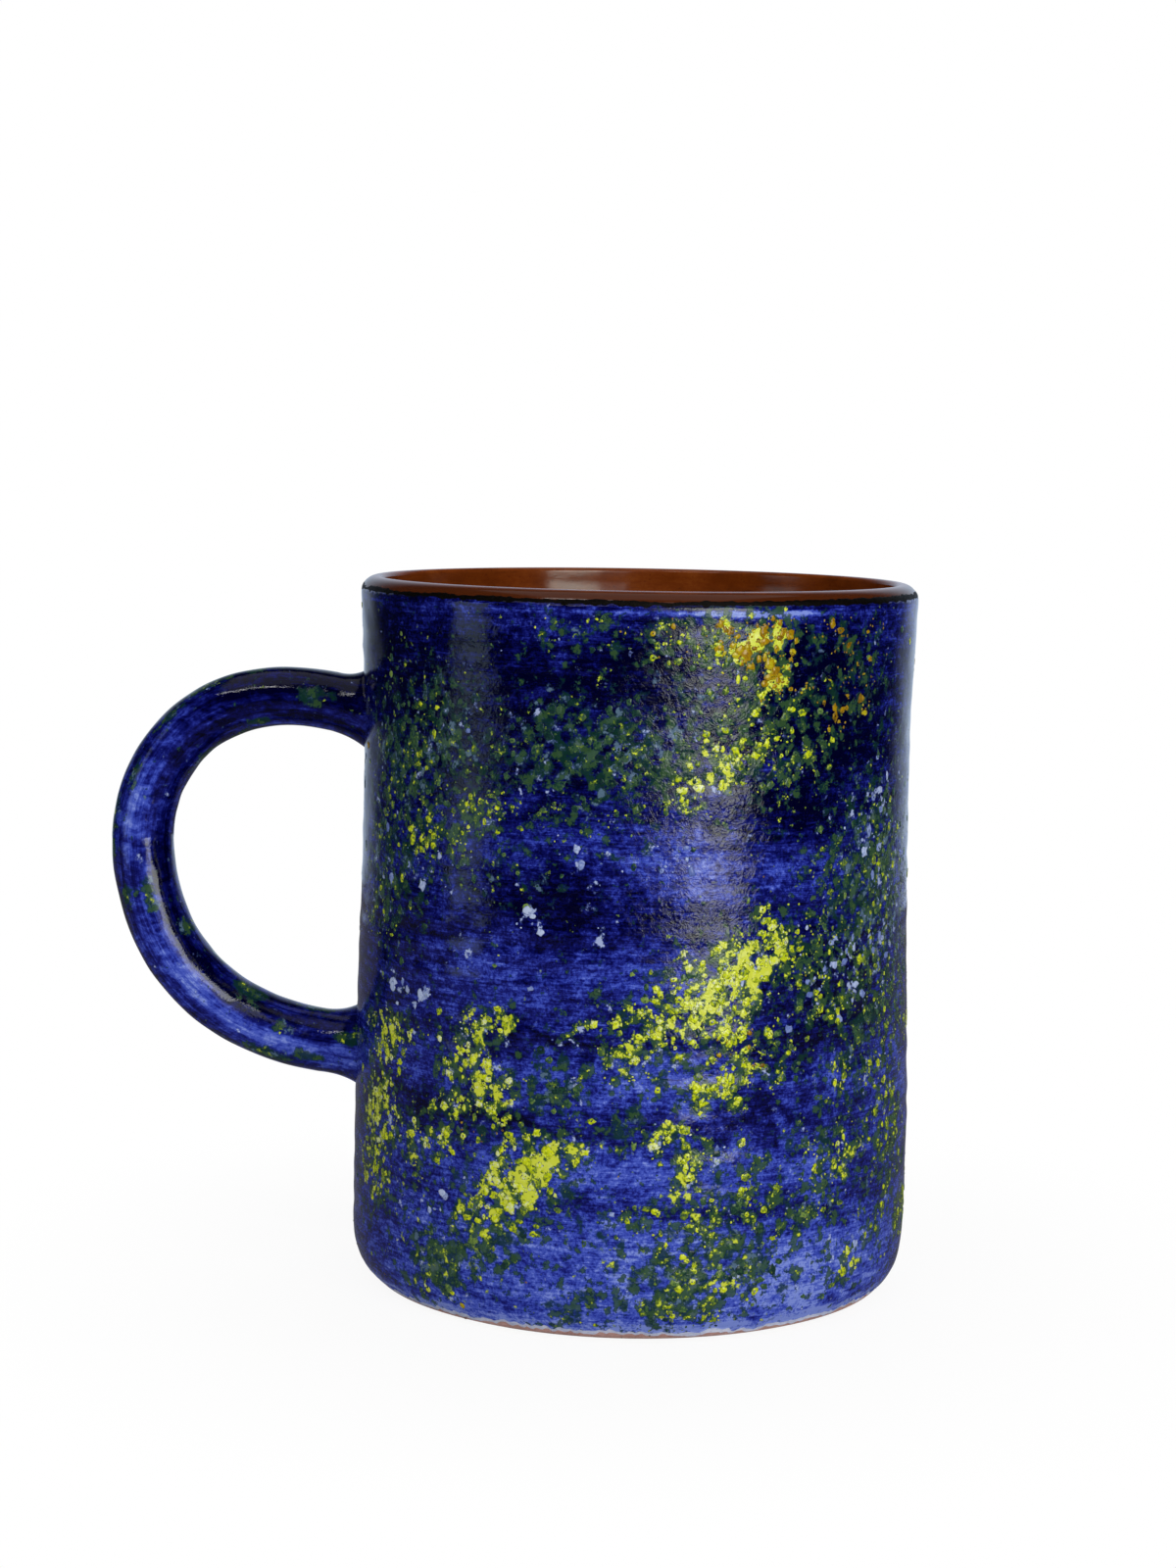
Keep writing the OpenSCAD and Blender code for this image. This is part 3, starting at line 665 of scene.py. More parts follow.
whiteDrifts = [
    (-109.5, 0.565, 1.6, 0.013, -0.5, 1.3, 0.2), (-100, 0.55, 1.2, 0.008, 0, 1.0, 0.4),
    (-142, 0.44, 3, 0.008, 0, 1.3, 0.2), (-122, 0.52, 2, 0.01, 0, 0.8, 0.4),
    (-99, 0.63, 4, 0.02, 0, 0.5, 0.7), (-82, 0.655, 12, 0.016, 0, 0.4, 0.8),
    (-71, 0.255, 2.5, 0.02, 0, 0.6, 0.3), (-64, 0.477, 2, 0.008, 0, 0.9, 0.2),
    (-38, 0.44, 1.2, 0.008, 0, 1.0, 0.3), (-33, 0.69, 6, 0.04, 0, 0.8, 0.5),
    (-29, 0.56, 10, 0.1, 0, 0.65, 0.6), (-129.5, 0.175, 1, 0.008, 0, 1.0, 0.3),
    (-125, 0.088, 1, 0.008, 0, 1.2, 0.2), (-119, 0.37, 4, 0.02, 0, 0.6, 0.3),
    (-103, 0.405, 4, 0.009, 0, 0.6, 0.4), (-146, 0.47, 5, 0.02, 0, 0.5, 0.5),
    (-40, 0.12, 5, 0.02, 0, 0.5, 0.5), (-40, 0.5, 9, 0.05, 0, 0.6, 0.5),
    (-52, 0.48, 6, 0.03, 0, 0.5, 0.5), (-30, 0.33, 7, 0.1, 0, 0.35, 0.6),
    (-138, 0.62, 9, 0.03, 0, 0.4, 0.5),
]

# Round the back, where the photo doesn't show, the dabs lie in short slanting trails like those in front.
# Each trail is a row of drifts that climbs by its slope, in shares of the height to a degree
backTrails = {
    "start": -8,
    "turn": 180,
    "place": (0.15, 0.85),
    "slope": (-0.001, 0.006),
    "slant": (0, 0.8),
    "uneven": 0.018,
    "yellow": {"seed": 71, "trails": 17, "parts": (3, 8), "lowest": 0.08, "highest": 0.93, "spread": 7.0,
               "wide": (1.6, 6), "tall": (0.009, 0.032), "strength": (0.35, 1.2), "shade": (0.38, 0.78)},
    "ochre": {"seed": 72, "trails": 4, "parts": (3, 6), "lowest": 0.84, "highest": 0.94, "spread": 4.5,
              "wide": (1.5, 4), "tall": (0.01, 0.022), "strength": (0.5, 1.2), "shade": (0.4, 0.7)},
    "green": {"seed": 73, "trails": 13, "parts": (4, 9), "lowest": 0.06, "highest": 0.9, "spread": 10.0,
              "wide": (4, 11), "tall": (0.02, 0.06), "strength": (0.4, 1.15), "shade": (0.4, 0.7)},
    "white": {"seed": 74, "trails": 8, "parts": (2, 5), "lowest": 0.15, "highest": 0.75, "spread": 6.0,
              "wide": (1.2, 5), "tall": (0.007, 0.025), "strength": (0.4, 1.0), "shade": (0.3, 0.6)},
}


def trailDrifts(colour):
    look = backTrails[colour]
    draw = np.random.default_rng(look["seed"])
    levels = draw.permutation(np.linspace(look["lowest"], look["highest"], look["trails"]))
    made = []
    for k, level in enumerate(levels):
        place = k + draw.uniform(*backTrails["place"])
        middle = backTrails["start"] + backTrails["turn"] * place / look["trails"]
        slope = draw.uniform(*backTrails["slope"])
        for _ in range(draw.integers(*look["parts"])):
            away = draw.normal(0, look["spread"])
            high = level + slope * away + draw.normal(0, backTrails["uneven"])
            spans = (look["wide"], look["tall"], backTrails["slant"], look["strength"], look["shade"])
            made.append((middle + away, high, *(draw.uniform(*span) for span in spans)))
    return made


yellowDrifts += trailDrifts("yellow")
ochreDrifts += trailDrifts("ochre")
greenDrifts += trailDrifts("green")
whiteDrifts += trailDrifts("white")

# Where the sponge left the glaze creased
creasedSpots = [
    (-80, 0.72, 11, 0.13, 1.0), (-97, 0.81, 13, 0.06, 0.9), (-78, 0.88, 8, 0.05, 0.8),
    (-85, 0.6, 12, 0.04, 0.7), (-128, 0.78, 10, 0.08, 0.5), (10, 0.7, 16, 0.08, 0.8),
    (75, 0.5, 16, 0.08, 0.8), (130, 0.7, 16, 0.08, 0.8),
]
# How thickly the blue lies: below nought is heavy and dark, above is thin and bright
loadSpots = [
    (-57, 0.67, 10, 0.045, -0.2), (-75, 0.56, 12, 0.02, -0.12), (-105, 0.585, 15, 0.035, -0.34),
    (-138, 0.86, 22, 0.09, -0.26), (-95, 0.9, 12, 0.03, -0.2), (-53, 0.87, 12, 0.055, -0.4),
    (-40, 0.77, 16, 0.05, -0.16), (-60, 0.715, 8, 0.02, -0.22), (-108, 0.405, 18, 0.012, -0.3),
    (-108, 0.292, 10, 0.012, -0.38), (-132, 0.3, 14, 0.028, -0.25), (-145, 0.52, 10, 0.07, -0.25),
    (-60, 0.3, 16, 0.012, -0.3), (-85, 0.18, 22, 0.009, -0.14), (-55, 0.42, 14, 0.05, -0.22),
    (-92, 0.8, 26, 0.05, -0.1), (-46, 0.5, 14, 0.06, -0.2), (-88, 0.35, 22, 0.03, 0.2),
    (-98, 0.24, 18, 0.03, 0.26), (-93, 0.12, 26, 0.045, 0.26), (-105, 0.05, 30, 0.03, 0.2),
    (-60, 0.24, 9, 0.025, 0.16), (-45, 0.1, 14, 0.035, 0.24), (-60, 0.05, 14, 0.03, 0.24),
    (-78, 0.645, 16, 0.03, 0.2), (-55, 0.63, 10, 0.03, 0.08), (-100, 0.49, 20, 0.03, 0.1),
    (-108, 0.95, 7, 0.02, 0.14), (-127, 0.962, 8, 0.014, 0.14), (-50, 0.96, 12, 0.015, 0.12),
    (-30, 0.8, 10, 0.1, 0.05), (-140, 0.15, 16, 0.05, 0.06), (-130, 0.5, 8, 0.02, 0.12),
    (10, 0.3, 30, 0.04, 0.22), (60, 0.62, 30, 0.04, -0.3), (110, 0.4, 30, 0.04, 0.2),
    (40, 0.1, 36, 0.05, 0.22), (130, 0.1, 36, 0.05, 0.22), (20, 0.8, 26, 0.05, -0.25),
    (130, 0.75, 26, 0.05, -0.25), (90, 0.9, 20, 0.04, 0.1), (150, 0.5, 20, 0.05, -0.25),
]


# How ragged a drift's outline is, in degrees and as a share of the height, and how it clumps
driftEdge = {
    "acrossWarp": 1.5,
    "alongWarp": 0.011,
    "clumps": 0.42,
    "wider": 1.22,
    "fall": 0.7,
    "plainTone": 0.5,
    "thinnest": 0.2,
    "thickest": 1.7,
}
warpA = makeWaves(61, 20, (6, 70), (3.5, 16), 0.32)
warpB = makeWaves(62, 20, (6, 70), (3.5, 16), 0.32)
clumps = makeWaves(63, 46, (12, 110), (1.8, 9), 0.21)


def plainDrifts(spots):
    # spots with neither slant nor tone, as drifts
    return [(*place, 0, strength, 0) for *place, strength in spots]


def driftField(drifts, turn, share, add=False):
    # strength of the strongest drift at each place, or of all of them together, and its tone
    look = driftEdge
    height = share * pot["height"]
    degrees = np.degrees(turn) + look["acrossWarp"] * waveHeight(warpA, turn, height)
    level = share + look["alongWarp"] * waveHeight(warpB, turn, height)
    total = np.zeros(np.broadcast(turn, share).shape)
    tone = np.full(total.shape, look["plainTone"])
    for middle, high, wide, tall, slant, strength, shade in drifts:
        across = ((degrees - middle + 180) % 360 - 180) / (wide * look["wider"])
        along = (level - high) / (tall * look["wider"]) - slant * across
        here = strength * np.exp(-(across ** 2 + along ** 2) * look["fall"])
        tone = np.where(here > total, shade, tone)
        total = total + here if add else np.maximum(total, here)
    if not add:
        clumped = 1 + look["clumps"] * waveHeight(clumps, turn, height)
        total = total * np.clip(clumped, look["thinnest"], look["thickest"])
    return total, tone


# The coats on the wall. Their edges are ragged, and measured up the outside in millimetres
wallGrid = {
    "columns": 540,
    "rows": 176,
    "insideRows": 7,
    "footEdge": 3.3,
    "footLeast": 2.4,
    "footRagged": 0.6,
    "topEdge": 0.62,
    "topRagged": 0.12,
    "feather": 2.0,
    "featherEase": 0.6,
}
slipGrid = {
    "rows": 90,
    "insideRows": 6,
    "below": 0.8,
    "ragged": 0.4,
    "leastEdge": 1.9,
    "leastBelow": 0.2,
    "topGap": 0.1,
    "clearance": 0.02,
    "feather": 1.0,
}


# A ragged edge is many waves round the pot, the finer ones lower
raggedEdge = {"turns": (5, 240), "waves": 70, "tall": (0.4, 1), "fullTurns": 6, "together": 3.2}


def ragged(seed, size, turn):
    look = raggedEdge
    draw = np.random.default_rng(seed)
    edge = 0
    for m in draw.integers(*look["turns"], look["waves"]):
        start = draw.uniform(0, 2 * math.pi)
        tall = size * draw.uniform(*look["tall"]) / math.sqrt(m / look["fullTurns"])
        edge = edge + tall * np.cos(m * turn + start)
    return edge / look["together"]


turns = np.linspace(0, 2 * math.pi, wallGrid["columns"], endpoint=False)
footEdge = wallGrid["footEdge"] + ragged(21, wallGrid["footRagged"], turns)
footEdge = np.clip(footEdge, wallGrid["footLeast"], None)
topEdge = outsideLength - lipLength + wallGrid["topEdge"] + ragged(22, wallGrid["topRagged"], turns)


def coatShell(look, low, high, outer, inner):
    # a closed shell over the wall between two edges and two depths, thinning to the lower edge
    share = np.linspace(0, 1, look["rows"])[:, None]
    run = low + (high - low) * share
    thin = np.clip((run - low) / look["feather"], 0, 1) ** wallGrid["featherEase"]
    outside = outsideXyz(turns, run, inner + (outer - inner) * thin)
    back = np.linspace(1, 0, look["insideRows"])[:, None]
    runBack = low + (high - low) * back
    inside = outsideXyz(turns, runBack, inner + 0 * runBack)
    return np.concatenate([outside, inside])


# How strongly each drift shows as each kind of sponged dab, and how much of it lies all over
wallPaint = {
    "dabs": {
        "green": {"drifts": {"green": 1.02, "halo": 1.0}, "allOver": {"sprinkle": 0.6}},
        "haze": {"drifts": {"green": 0.84, "yellow": 0.7}, "allOver": {"upper": 0.08}},
        "pale": {"drifts": {"pale": 1.0, "clear": 0.95, "green": 0.36},
                 "allOver": {"even": 0.15, "lower": 0.07}},
        "moss": {"drifts": {"halo": 1.05, "green": 0.66}, "allOver": {"sprinkle": 1.0}},
        "lemon": {"drifts": {"clear": 1.12, "green": 0.32}, "allOver": {"even": 0.1, "lower": 0.08}},
    },
    "sprinkle": {"even": 0.21, "lower": 0.16, "upper": 0.02},
    "loadAndSheen": {"even": -0.02, "lower": 0.02, "upper": -0.12, "grooves": -0.05},
    "wrinkle": {"even": 0.1, "dabbed": 0.6, "creased": 0.6},
    "upper": (0.55, 0.8),
    "lower": (0.35, 0.15),
    "darkTone": 0.85,
    "clearTone": 0.5,
    "leastClear": 0.25,
    # under the lip the blue is paler all round where it lies thin; the front part, about the middle turn, is
    # a painted highlight of the window's reflection
    "rimThinAndHighlight": {"level": 0.9715, "tall": 0.0034, "all": 0.2, "front": 1.1, "middle": -68, "wide": 15},
    "footGlow": {"amount": 0.36, "tall": 0.55, "ease": 1.4},
    "strokeAcross": 0.05,
}


def fadeBetween(value, start, end):
    return np.clip((value - start) / (end - start), 0, 1)


def mixed(fields, amounts):
    return sum(amount * fields[field] for field, amount in amounts.items())


def edgePaleAndHighlight(turn, share, run):
    # the blue lies thin, and so pale, under the lip and along the foot; under the lip at the front a painted
    # highlight is added too, the window's reflection where the wall turns into the lip
    rim, foot = wallPaint["rimThinAndHighlight"], wallPaint["footGlow"]
    # front: where the painted highlight under the lip is strongest
    front = np.exp(-((np.degrees(turn) - rim["middle"]) / rim["wide"]) ** 4)
    fromFoot = run - np.interp(turn, turns, footEdge, period=2 * math.pi)
    glow = (rim["all"] + rim["front"] * front) * np.exp(-((share - rim["level"]) / rim["tall"]) ** 2)
    return glow + foot["amount"] * np.exp(-(np.clip(fromFoot, 0, None) / foot["tall"]) ** foot["ease"])


def makeBlueWall():
    look = wallPaint
    grid = coatShell(wallGrid, footEdge, topEdge, 0.0, pot["glazeThick"])
    faces = bandFaces(len(grid), wallGrid["columns"], closeRows=True)
    piece = newPiece("blueGlazeWall", grid, faces, blueGlaze, ["blue_glaze_coat"])
    xyz = grid.reshape(-1, 3) / mm
    turn = np.arctan2(xyz[:, 1], xyz[:, 0])
    share = xyz[:, 2] / pot["height"]
    run = runAt(xyz[:, 2])
    yellow, shade = driftField(yellowDrifts + ochreDrifts, turn, share)
    clear = np.clip(fadeBetween(shade, look["darkTone"], look["clearTone"]), look["leastClear"], 1)
    fields = {
        "even": np.ones(len(turn)),
        "green": driftField(greenDrifts, turn, share)[0],
        "yellow": yellow,
        "halo": np.clip(yellow, 0, 1.2) ** 0.5,
        "clear": yellow * clear,
        "pale": driftField(whiteDrifts, turn, share)[0],
        "creased": np.clip(driftField(plainDrifts(creasedSpots), turn, share, add=True)[0], 0, 1),
        "upper": fadeBetween(share, *look["upper"]),
        "lower": fadeBetween(share, *look["lower"]),
        "grooves": grooveDepth(turn, run),
    }
    fields["dabbed"] = np.clip(np.maximum(fields["green"], yellow), 0, 1)
    fields["sprinkle"] = mixed(fields, look["sprinkle"])
    for name, dab in look["dabs"].items():
        strongest = np.maximum.reduce([amount * fields[field] for field, amount in dab["drifts"].items()])
        setShare(piece, name, strongest + mixed(fields, dab["allOver"]))
    loadAndSheen, _ = driftField(plainDrifts(loadSpots), turn, share, add=True)
    # the wall's loadAndSheen: how thickly the blue lies, plus the painted highlight under the lip at the
    # front
    setShare(piece, "loadAndSheen", loadAndSheen + edgePaleAndHighlight(turn, share, run) + mixed(fields, look["loadAndSheen"]))
    setShare(piece, "grain", fields["even"])
    setShare(piece, "wrinkle", mixed(fields, look["wrinkle"]))
    setShare(piece, "stroke", xyz * [look["strokeAcross"], look["strokeAcross"], 1], "FLOAT_VECTOR")


makeBlueWall()


def makeSlipWall():
    look = slipGrid
    low = footEdge - look["below"] + ragged(23, look["ragged"], turns)
    low = np.clip(low, look["leastEdge"], footEdge - look["leastBelow"])
    grid = coatShell(look, low, topEdge - look["topGap"], pot["glazeThick"] + look["clearance"], coatThick)
    faces = bandFaces(len(grid), wallGrid["columns"], closeRows=True)
    newPiece("whiteSlipWall", grid, faces, clays["whiteSlip"], ["white_slip_coat"])


makeSlipWall()
print("wall coats made")

# The honey glaze on the inside and over the lip. Fingers left ridges in it, and a spiral on the floor
liner = {
    "columns": 288,
    "lipRows": 30,
    "roundRows": 10,
    "wallRows": 84,
    "bendRows": 18,
    "floorRows": 26,
    "startTurn": 22,
    "floorShare": 0.96,
    "tipRadius": 0.4,
    "backShare": 0.9,
    "calmTop": 6,
    "fingerRidge": 0.028,
    "swell": 0.05,
    "rimRidge": 0.34,
    "rimRidgeDown": 5.4,
    "rimRidgeWide": 2.6,
    "rimRidgeShare": 0.62,
    "rimRidgeWaves": ((5, 0.2, 0.4), (9, 0.14, 1.0), (14, 0.12, 0.0)),
    "calmRadius": 30,
    "spiral": 0.12,
    "spiralPitch": 2.6,
    "spiralRadius": 22,
    "tipThick": 0.3,
    "poolWide": 1.6,
}


def arc(radius, z, bend, degrees):
    # points on an arc about a radius and a height
    angles = np.radians(degrees)
    return np.stack([radius + bend * np.cos(angles), z + bend * np.sin(angles)], -1)


def insideProfile(depth):
    # from the lip's outer corner over the lip, down the wall and along the floor to its middle
    lowZ = pot["floorThick"] + pot["insideRound"]
    highZ = pot["height"] - pot["lipInnerRound"]
    lipMiddle = wallRadius(lipLowZ) - pot["lipOuterRound"]
    topMiddle = wallRadius(highZ) - wallThick(highZ) + pot["lipInnerRound"]
    bendMiddle = wallRadius(lowZ) - wallThick(lowZ) - pot["insideRound"]
    lipTurns = np.linspace(liner["startTurn"], 90, liner["lipRows"])
    z = np.linspace(highZ, lowZ, liner["wallRows"])
    along = np.linspace(bendMiddle * liner["floorShare"], liner["tipRadius"], liner["floorRows"])
    return np.concatenate([
        arc(lipMiddle, lipLowZ, pot["lipOuterRound"] - depth, lipTurns),
        arc(topMiddle, highZ, pot["lipInnerRound"] - depth, np.linspace(95, 175, liner["roundRows"])),
        np.stack([wallRadius(z) - wallThick(z) + depth, z], -1),
        arc(bendMiddle, lowZ, pot["insideRound"] + depth, np.linspace(-5, -90, liner["bendRows"])),
        np.stack([along, pot["floorThick"] - depth + 0 * along], -1),
    ])


def linerRows(profile, around, sags):
    # a turned surface, with the sag added to its radius and the spiral to its height
    radius, height = profile[:, :1], profile[:, 1:]
    calm = np.clip((pot["height"] - height) / liner["calmTop"], 0, 1)
    sag = calm * sum(waveHeight(waves, around, height) for waves in sags)
    if sags:
        level = (height - pot["height"] + liner["rimRidgeDown"]) / liner["rimRidgeWide"]
        uneven = liner["rimRidgeShare"]
        for count, amount, start in liner["rimRidgeWaves"]:
            uneven = uneven + amount * np.sin(count * around + start)
        sag = sag - liner["rimRidge"] * uneven * np.exp(-level ** 2)
    onWall = height > pot["floorThick"] + 1
    radius = radius + np.where(onWall, sag, 0) * np.clip(radius / liner["calmRadius"], 0, 1)
    fade = np.exp(-(radius / liner["spiralRadius"]) ** 2)
    spiral = liner["spiral"] * np.cos(radius / liner["spiralPitch"] - around) * fade
    height = height + np.where(onWall, 0, spiral)
    return np.stack([radius * np.cos(around), radius * np.sin(around), height + 0 * around], -1)


def makeLiner():
    columns = liner["columns"]
    around = np.linspace(0, 2 * math.pi, columns, endpoint=False)
    ridges = makeWaves(31, 12, (0, 2), (4, 11), liner["fingerRidge"])
    swell = makeWaves(32, 6, (2, 5), (40, 80), liner["swell"])
    front = linerRows(insideProfile(0.0), around, [ridges, swell])
    back = linerRows(insideProfile(pot["glazeThick"] * liner["backShare"])[::-1], around, [])
    half = len(front)
    faces = bandFaces(half, columns)
    faces += [[c + half * columns for c in face] for face in faces]
    points = np.concatenate([front, back]).reshape(-1, 3) * mm
    frontTip = [0, 0, pot["floorThick"] + liner["spiral"]]
    backTip = [0, 0, pot["floorThick"] - liner["tipThick"]]
    faces += fanFaces((half - 1) * columns, columns, len(points), True)
    faces += fanFaces(half * columns, columns, len(points) + 1, False)
    end = (2 * half - 1) * columns
    faces += [[end + j, end + (j + 1) % columns, (j + 1) % columns, j] for j in range(columns)]
    points = np.concatenate([points, np.array([frontTip, backTip]) * mm])
    piece = newPiece("honeyLiner", points, faces, honeyGlaze, ["honey_glaze_liner"])
    outward = np.hypot(points[:, 0], points[:, 1]) / mm - wallRadius(lipLowZ) + pot["lipOuterRound"]
    setShare(piece, "pool", np.clip(outward / liner["poolWide"], 0, 1))


makeLiner()


# The dark line where the two glazes meet, uneven as the brush left it
rimLine = {
    "columns": 900,
    "rows": 7,
    "up": 0.9,
    "wander": 0.1,
    "half": 0.5,
    "ragged": 0.3,
    "thinnest": 0.2,
    "thickest": 0.8,
    "swell": 0.05,
    "sink": 0.03,
    "deep": 0.3,
}


def makeRimLine():
    look = rimLine
    around = np.linspace(0, 2 * math.pi, look["columns"], endpoint=False)
    middle = outsideLength - lipLength + look["up"] + ragged(24, look["wander"], around)
    half = np.clip(look["half"] + ragged(25, look["ragged"], around), look["thinnest"], look["thickest"])
    share = np.linspace(-1, 1, look["rows"])[:, None]
    run = middle + half * share
    rise = look["swell"] * (1 - share ** 2) - look["sink"]
    outside = outsideXyz(around, run, -rise)
    inside = outsideXyz(around, run[::-1], look["deep"] + 0 * run)
    grid = np.concatenate([outside, inside])
    faces = bandFaces(len(grid), look["columns"], closeRows=True)
    newPiece("darkRimLine", grid, faces, clays["burntRim"], ["dark_rim_line"])


makeRimLine()
print("liner and rim made")

# The handle. Its middle line is two curves in the XZ plane that meet where it stands furthest out
handle = {
    "upperDown": 20.8,
    "span": 52.4,
    "outDown": 20.2,
    "upperSlope": 16,
    "lowerSlope": 2,
    "upperThick": 9.0,
    "lowerThick": 9.9,
    "widen": 1.0,
    "flare": 1.15,
    "flareEase": 2.4,
    "sink": 0.35,
    "jointRun": 5.5,
    "upperRun": 62.0,
    "wholeRun": 124.0,
    "upperPull": 0.83,
    "upperDrop": 0.41,
    "lowerDrop": 0.55,
    "lowerPull": 0.66,
    "sides": 72,
    "steps": 90,
    "rootSteps": 12,
    "facets": 0.004,
    "dimples": 0.0012,
}
upperZ = pot["height"] - handle["upperDown"]
lowerZ = upperZ - handle["span"]
outZ = upperZ - handle["outDown"]
middleThick = (handle["upperThick"] + handle["lowerThick"]) / 2
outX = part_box("handle_glaze_coat")[0].x / mm + middleThick / 2
reach = -outX - float(wallRadius(outZ))
facetWaves = makeWaves(41, 16, (2, 6), (14, 60), handle["facets"])
dimpleWaves = makeWaves(42, 16, (3, 9), (5, 14), handle["dimples"])


def handleCurve(z, slope, pull, drop):
    root = np.array([-float(wallRadius(z)), z])
    slope = math.radians(slope)
    out = np.array([outX, outZ])
    return np.array([root, root + reach * pull * np.array([-math.cos(slope), math.sin(slope)]),
                     out + [0, drop], out])


upperDrop = handle["outDown"] * handle["upperDrop"]
lowerDrop = -(handle["span"] - handle["outDown"]) * handle["lowerDrop"]
upperCurve = handleCurve(upperZ, handle["upperSlope"], handle["upperPull"], upperDrop)
lowerCurve = handleCurve(lowerZ, handle["lowerSlope"], handle["lowerPull"], lowerDrop)


def onCurve(c, t):
    return (1 - t) ** 3 * c[0] + 3 * (1 - t) ** 2 * t * c[1] + 3 * (1 - t) * t * t * c[2] + t ** 3 * c[3]


def alongCurve(c, t):
    way = (c[1] - c[0]) * (1 - t) ** 2 + (c[2] - c[1]) * 2 * (1 - t) * t + (c[3] - c[2]) * t * t
    return way / np.hypot(*way)


handleTurns = np.linspace(0, 2 * math.pi, handle["sides"], endpoint=False)


def rodRing(c, rootThick, t, grow, run, flip):
    # one ring of points round the rod, the lower curve's turned the other way so that the two join up
    middle = onCurve(c, t)
    way = alongCurve(c, t)
    half = (rootThick + (middleThick - rootThick) * t) / 2 + grow
    turn = math.pi - handleTurns if flip else handleTurns
    uneven = 1 + waveHeight(facetWaves, turn, run) + waveHeight(dimpleWaves, turn, run)
    across = half * uneven * np.cos(turn)
    wide = (half + handle["widen"] / 2) * uneven * np.sin(turn)
    return np.stack([middle[0] + way[1] * across, wide, middle[1] - way[0] * across], -1)


def toWall(points, way):
    # slides points along the rod until they lie on the wall; a few rounds settle it, as the wall curves
    for _ in range(5):
        away = np.sqrt(wallRadius(points[:, 2]) ** 2 - points[:, 1] ** 2)
        points = points + ((-away - points[:, 0]) / way[0])[:, None] * way
    return points


def halfHandle(c, rootThick, flip):
    # rings from the wall to the furthest point
    way = np.array([alongCurve(c, 0)[0], 0, alongCurve(c, 0)[1]])
    startShare = handle["jointRun"] / (3 * np.hypot(*(c[1] - c[0])))
    base = handle["wholeRun"] if flip else 0.0
    onward = -1 if flip else 1
    plain = toWall(rodRing(c, rootThick, 0, 0, base, flip), way)
    wide = toWall(rodRing(c, rootThick, 0, handle["flare"], base, flip), way)
    far = rodRing(c, rootThick, startShare, 0, base + onward * handle["jointRun"], flip)
    rings = [wide + way * -handle["sink"]]
    for i in range(handle["rootSteps"]):
        share = i / handle["rootSteps"]
        flare = (wide - plain) * (1 - share) ** handle["flareEase"]
        rings.append(plain * (1 - share) + far * share + flare)
    for i in range(handle["steps"]):
        t = startShare + (1 - startShare) * i / (handle["steps"] - 1)
        rings.append(rodRing(c, rootThick, t, 0, base + onward * handle["upperRun"] * t, flip))
    return rings


# The handle's paint. Distances run in millimetres from the upper root, and angles go from the side that
# faces the camera towards the outside of the bend
handlePaint = {
    "strokeAlong": 0.045,
    "strokeAround": 4.7,
    # sheenRun and the light band below are a painted reflection: a lilac-grey sheen along the side that
    # faces the camera, stronger along the middle of the handle
    "sheenRun": ((0, 0.0), (18, 0.15), (36, 1.0), (58, 0.75), (90, 0.9), (112, 0.55), (130, 0.25)),
    "darkRun": ((0, 0.5), (40, 0.6), (70, 1.0), (130, 0.8)),
    # light: the band of painted reflection, near the side that faces the camera
    "light": {"middle": 0.2, "sway": 0.25, "every": 15, "start": 0.6, "wide": 0.42, "amount": 0.4},
    "dark": {"middle": -0.72, "sway": 0.12, "every": 11, "start": 0.0, "wide": 0.34, "amount": 0.26},
    "root": {"at": 12, "long": 17, "from": -0.9, "amount": 0.32},
    "even": 0.11,
    "ripple": 0.055,
    "ripples": ((3, 90, 0.4), (7, -60, 2.0), (11, 75, 4.1), (16, -50, 1.3)),
    "sheenWide": 0.6,
    "grain": 0.45,
    "wrinkle": 0.2,
    "blotches": {"seed": 44, "count": 64, "at": (6, 126), "turn": (-math.pi, math.pi), "long": (1.6, 4.4),
                 "wide": (0.2, 0.5)},
    "dabs": {
        "green": {"blotch": 1.75},
        # haze and pale also carry part of the painted reflection along the side that faces the camera
        "haze": {"blotch": 0.75, "sheenRun": 0.25},
        "moss": {"blotch": 1.1, "even": 0.1},
        "lemon": {"blotch": 0.55},
        "pale": {"even": 0.1, "sheenBand": 0.35},
    },
}


def halfTurn(angle):
    # an angle brought between minus and plus half a turn
    return (angle + math.pi) % (2 * math.pi) - math.pi


def bandAlong(look, along, side, wide):
    # a band that sways along the handle
    middle = look["middle"] + look["sway"] * np.sin(along / look["every"] + look["start"])
    return np.exp(-((side - middle) / wide) ** 2)


def handleLoadAndSheen(along, around, side, sheenRun):
    # how thickly the blue lies on the handle, with a painted reflection: the light band along the side that
    # faces the camera
    light, dark, root = handlePaint["light"], handlePaint["dark"], handlePaint["root"]
    darkRun = np.interp(along, *zip(*handlePaint["darkRun"]))
    # the light band is painted reflection, not thinner blue
    loadAndSheen = light["amount"] * sheenRun * bandAlong(light, along, side, light["wide"]) - handlePaint["even"]
    loadAndSheen = loadAndSheen - dark["amount"] * darkRun * bandAlong(dark, along, side, dark["wide"])
    nearRoot = np.exp(-((along - root["at"]) / root["long"]) ** 2)
    loadAndSheen = loadAndSheen - root["amount"] * nearRoot * np.clip(side - root["from"], 0, 1)
    for count, length, start in handlePaint["ripples"]:
        loadAndSheen = loadAndSheen + handlePaint["ripple"] * np.sin(count * around + 2 * math.pi * along / length + start)
    return loadAndSheen


def handleBlotches(along, side):
    look = handlePaint["blotches"]
    draw = np.random.default_rng(look["seed"])
    blotch = 0 * along
    for _ in range(look["count"]):
        at, turn, long, wide = (draw.uniform(*look[key]) for key in ("at", "turn", "long", "wide"))
        apart = halfTurn(side - turn)
        blotch = np.maximum(blotch, np.exp(-((along - at) / long) ** 2 - (apart / wide) ** 2))
    return blotch


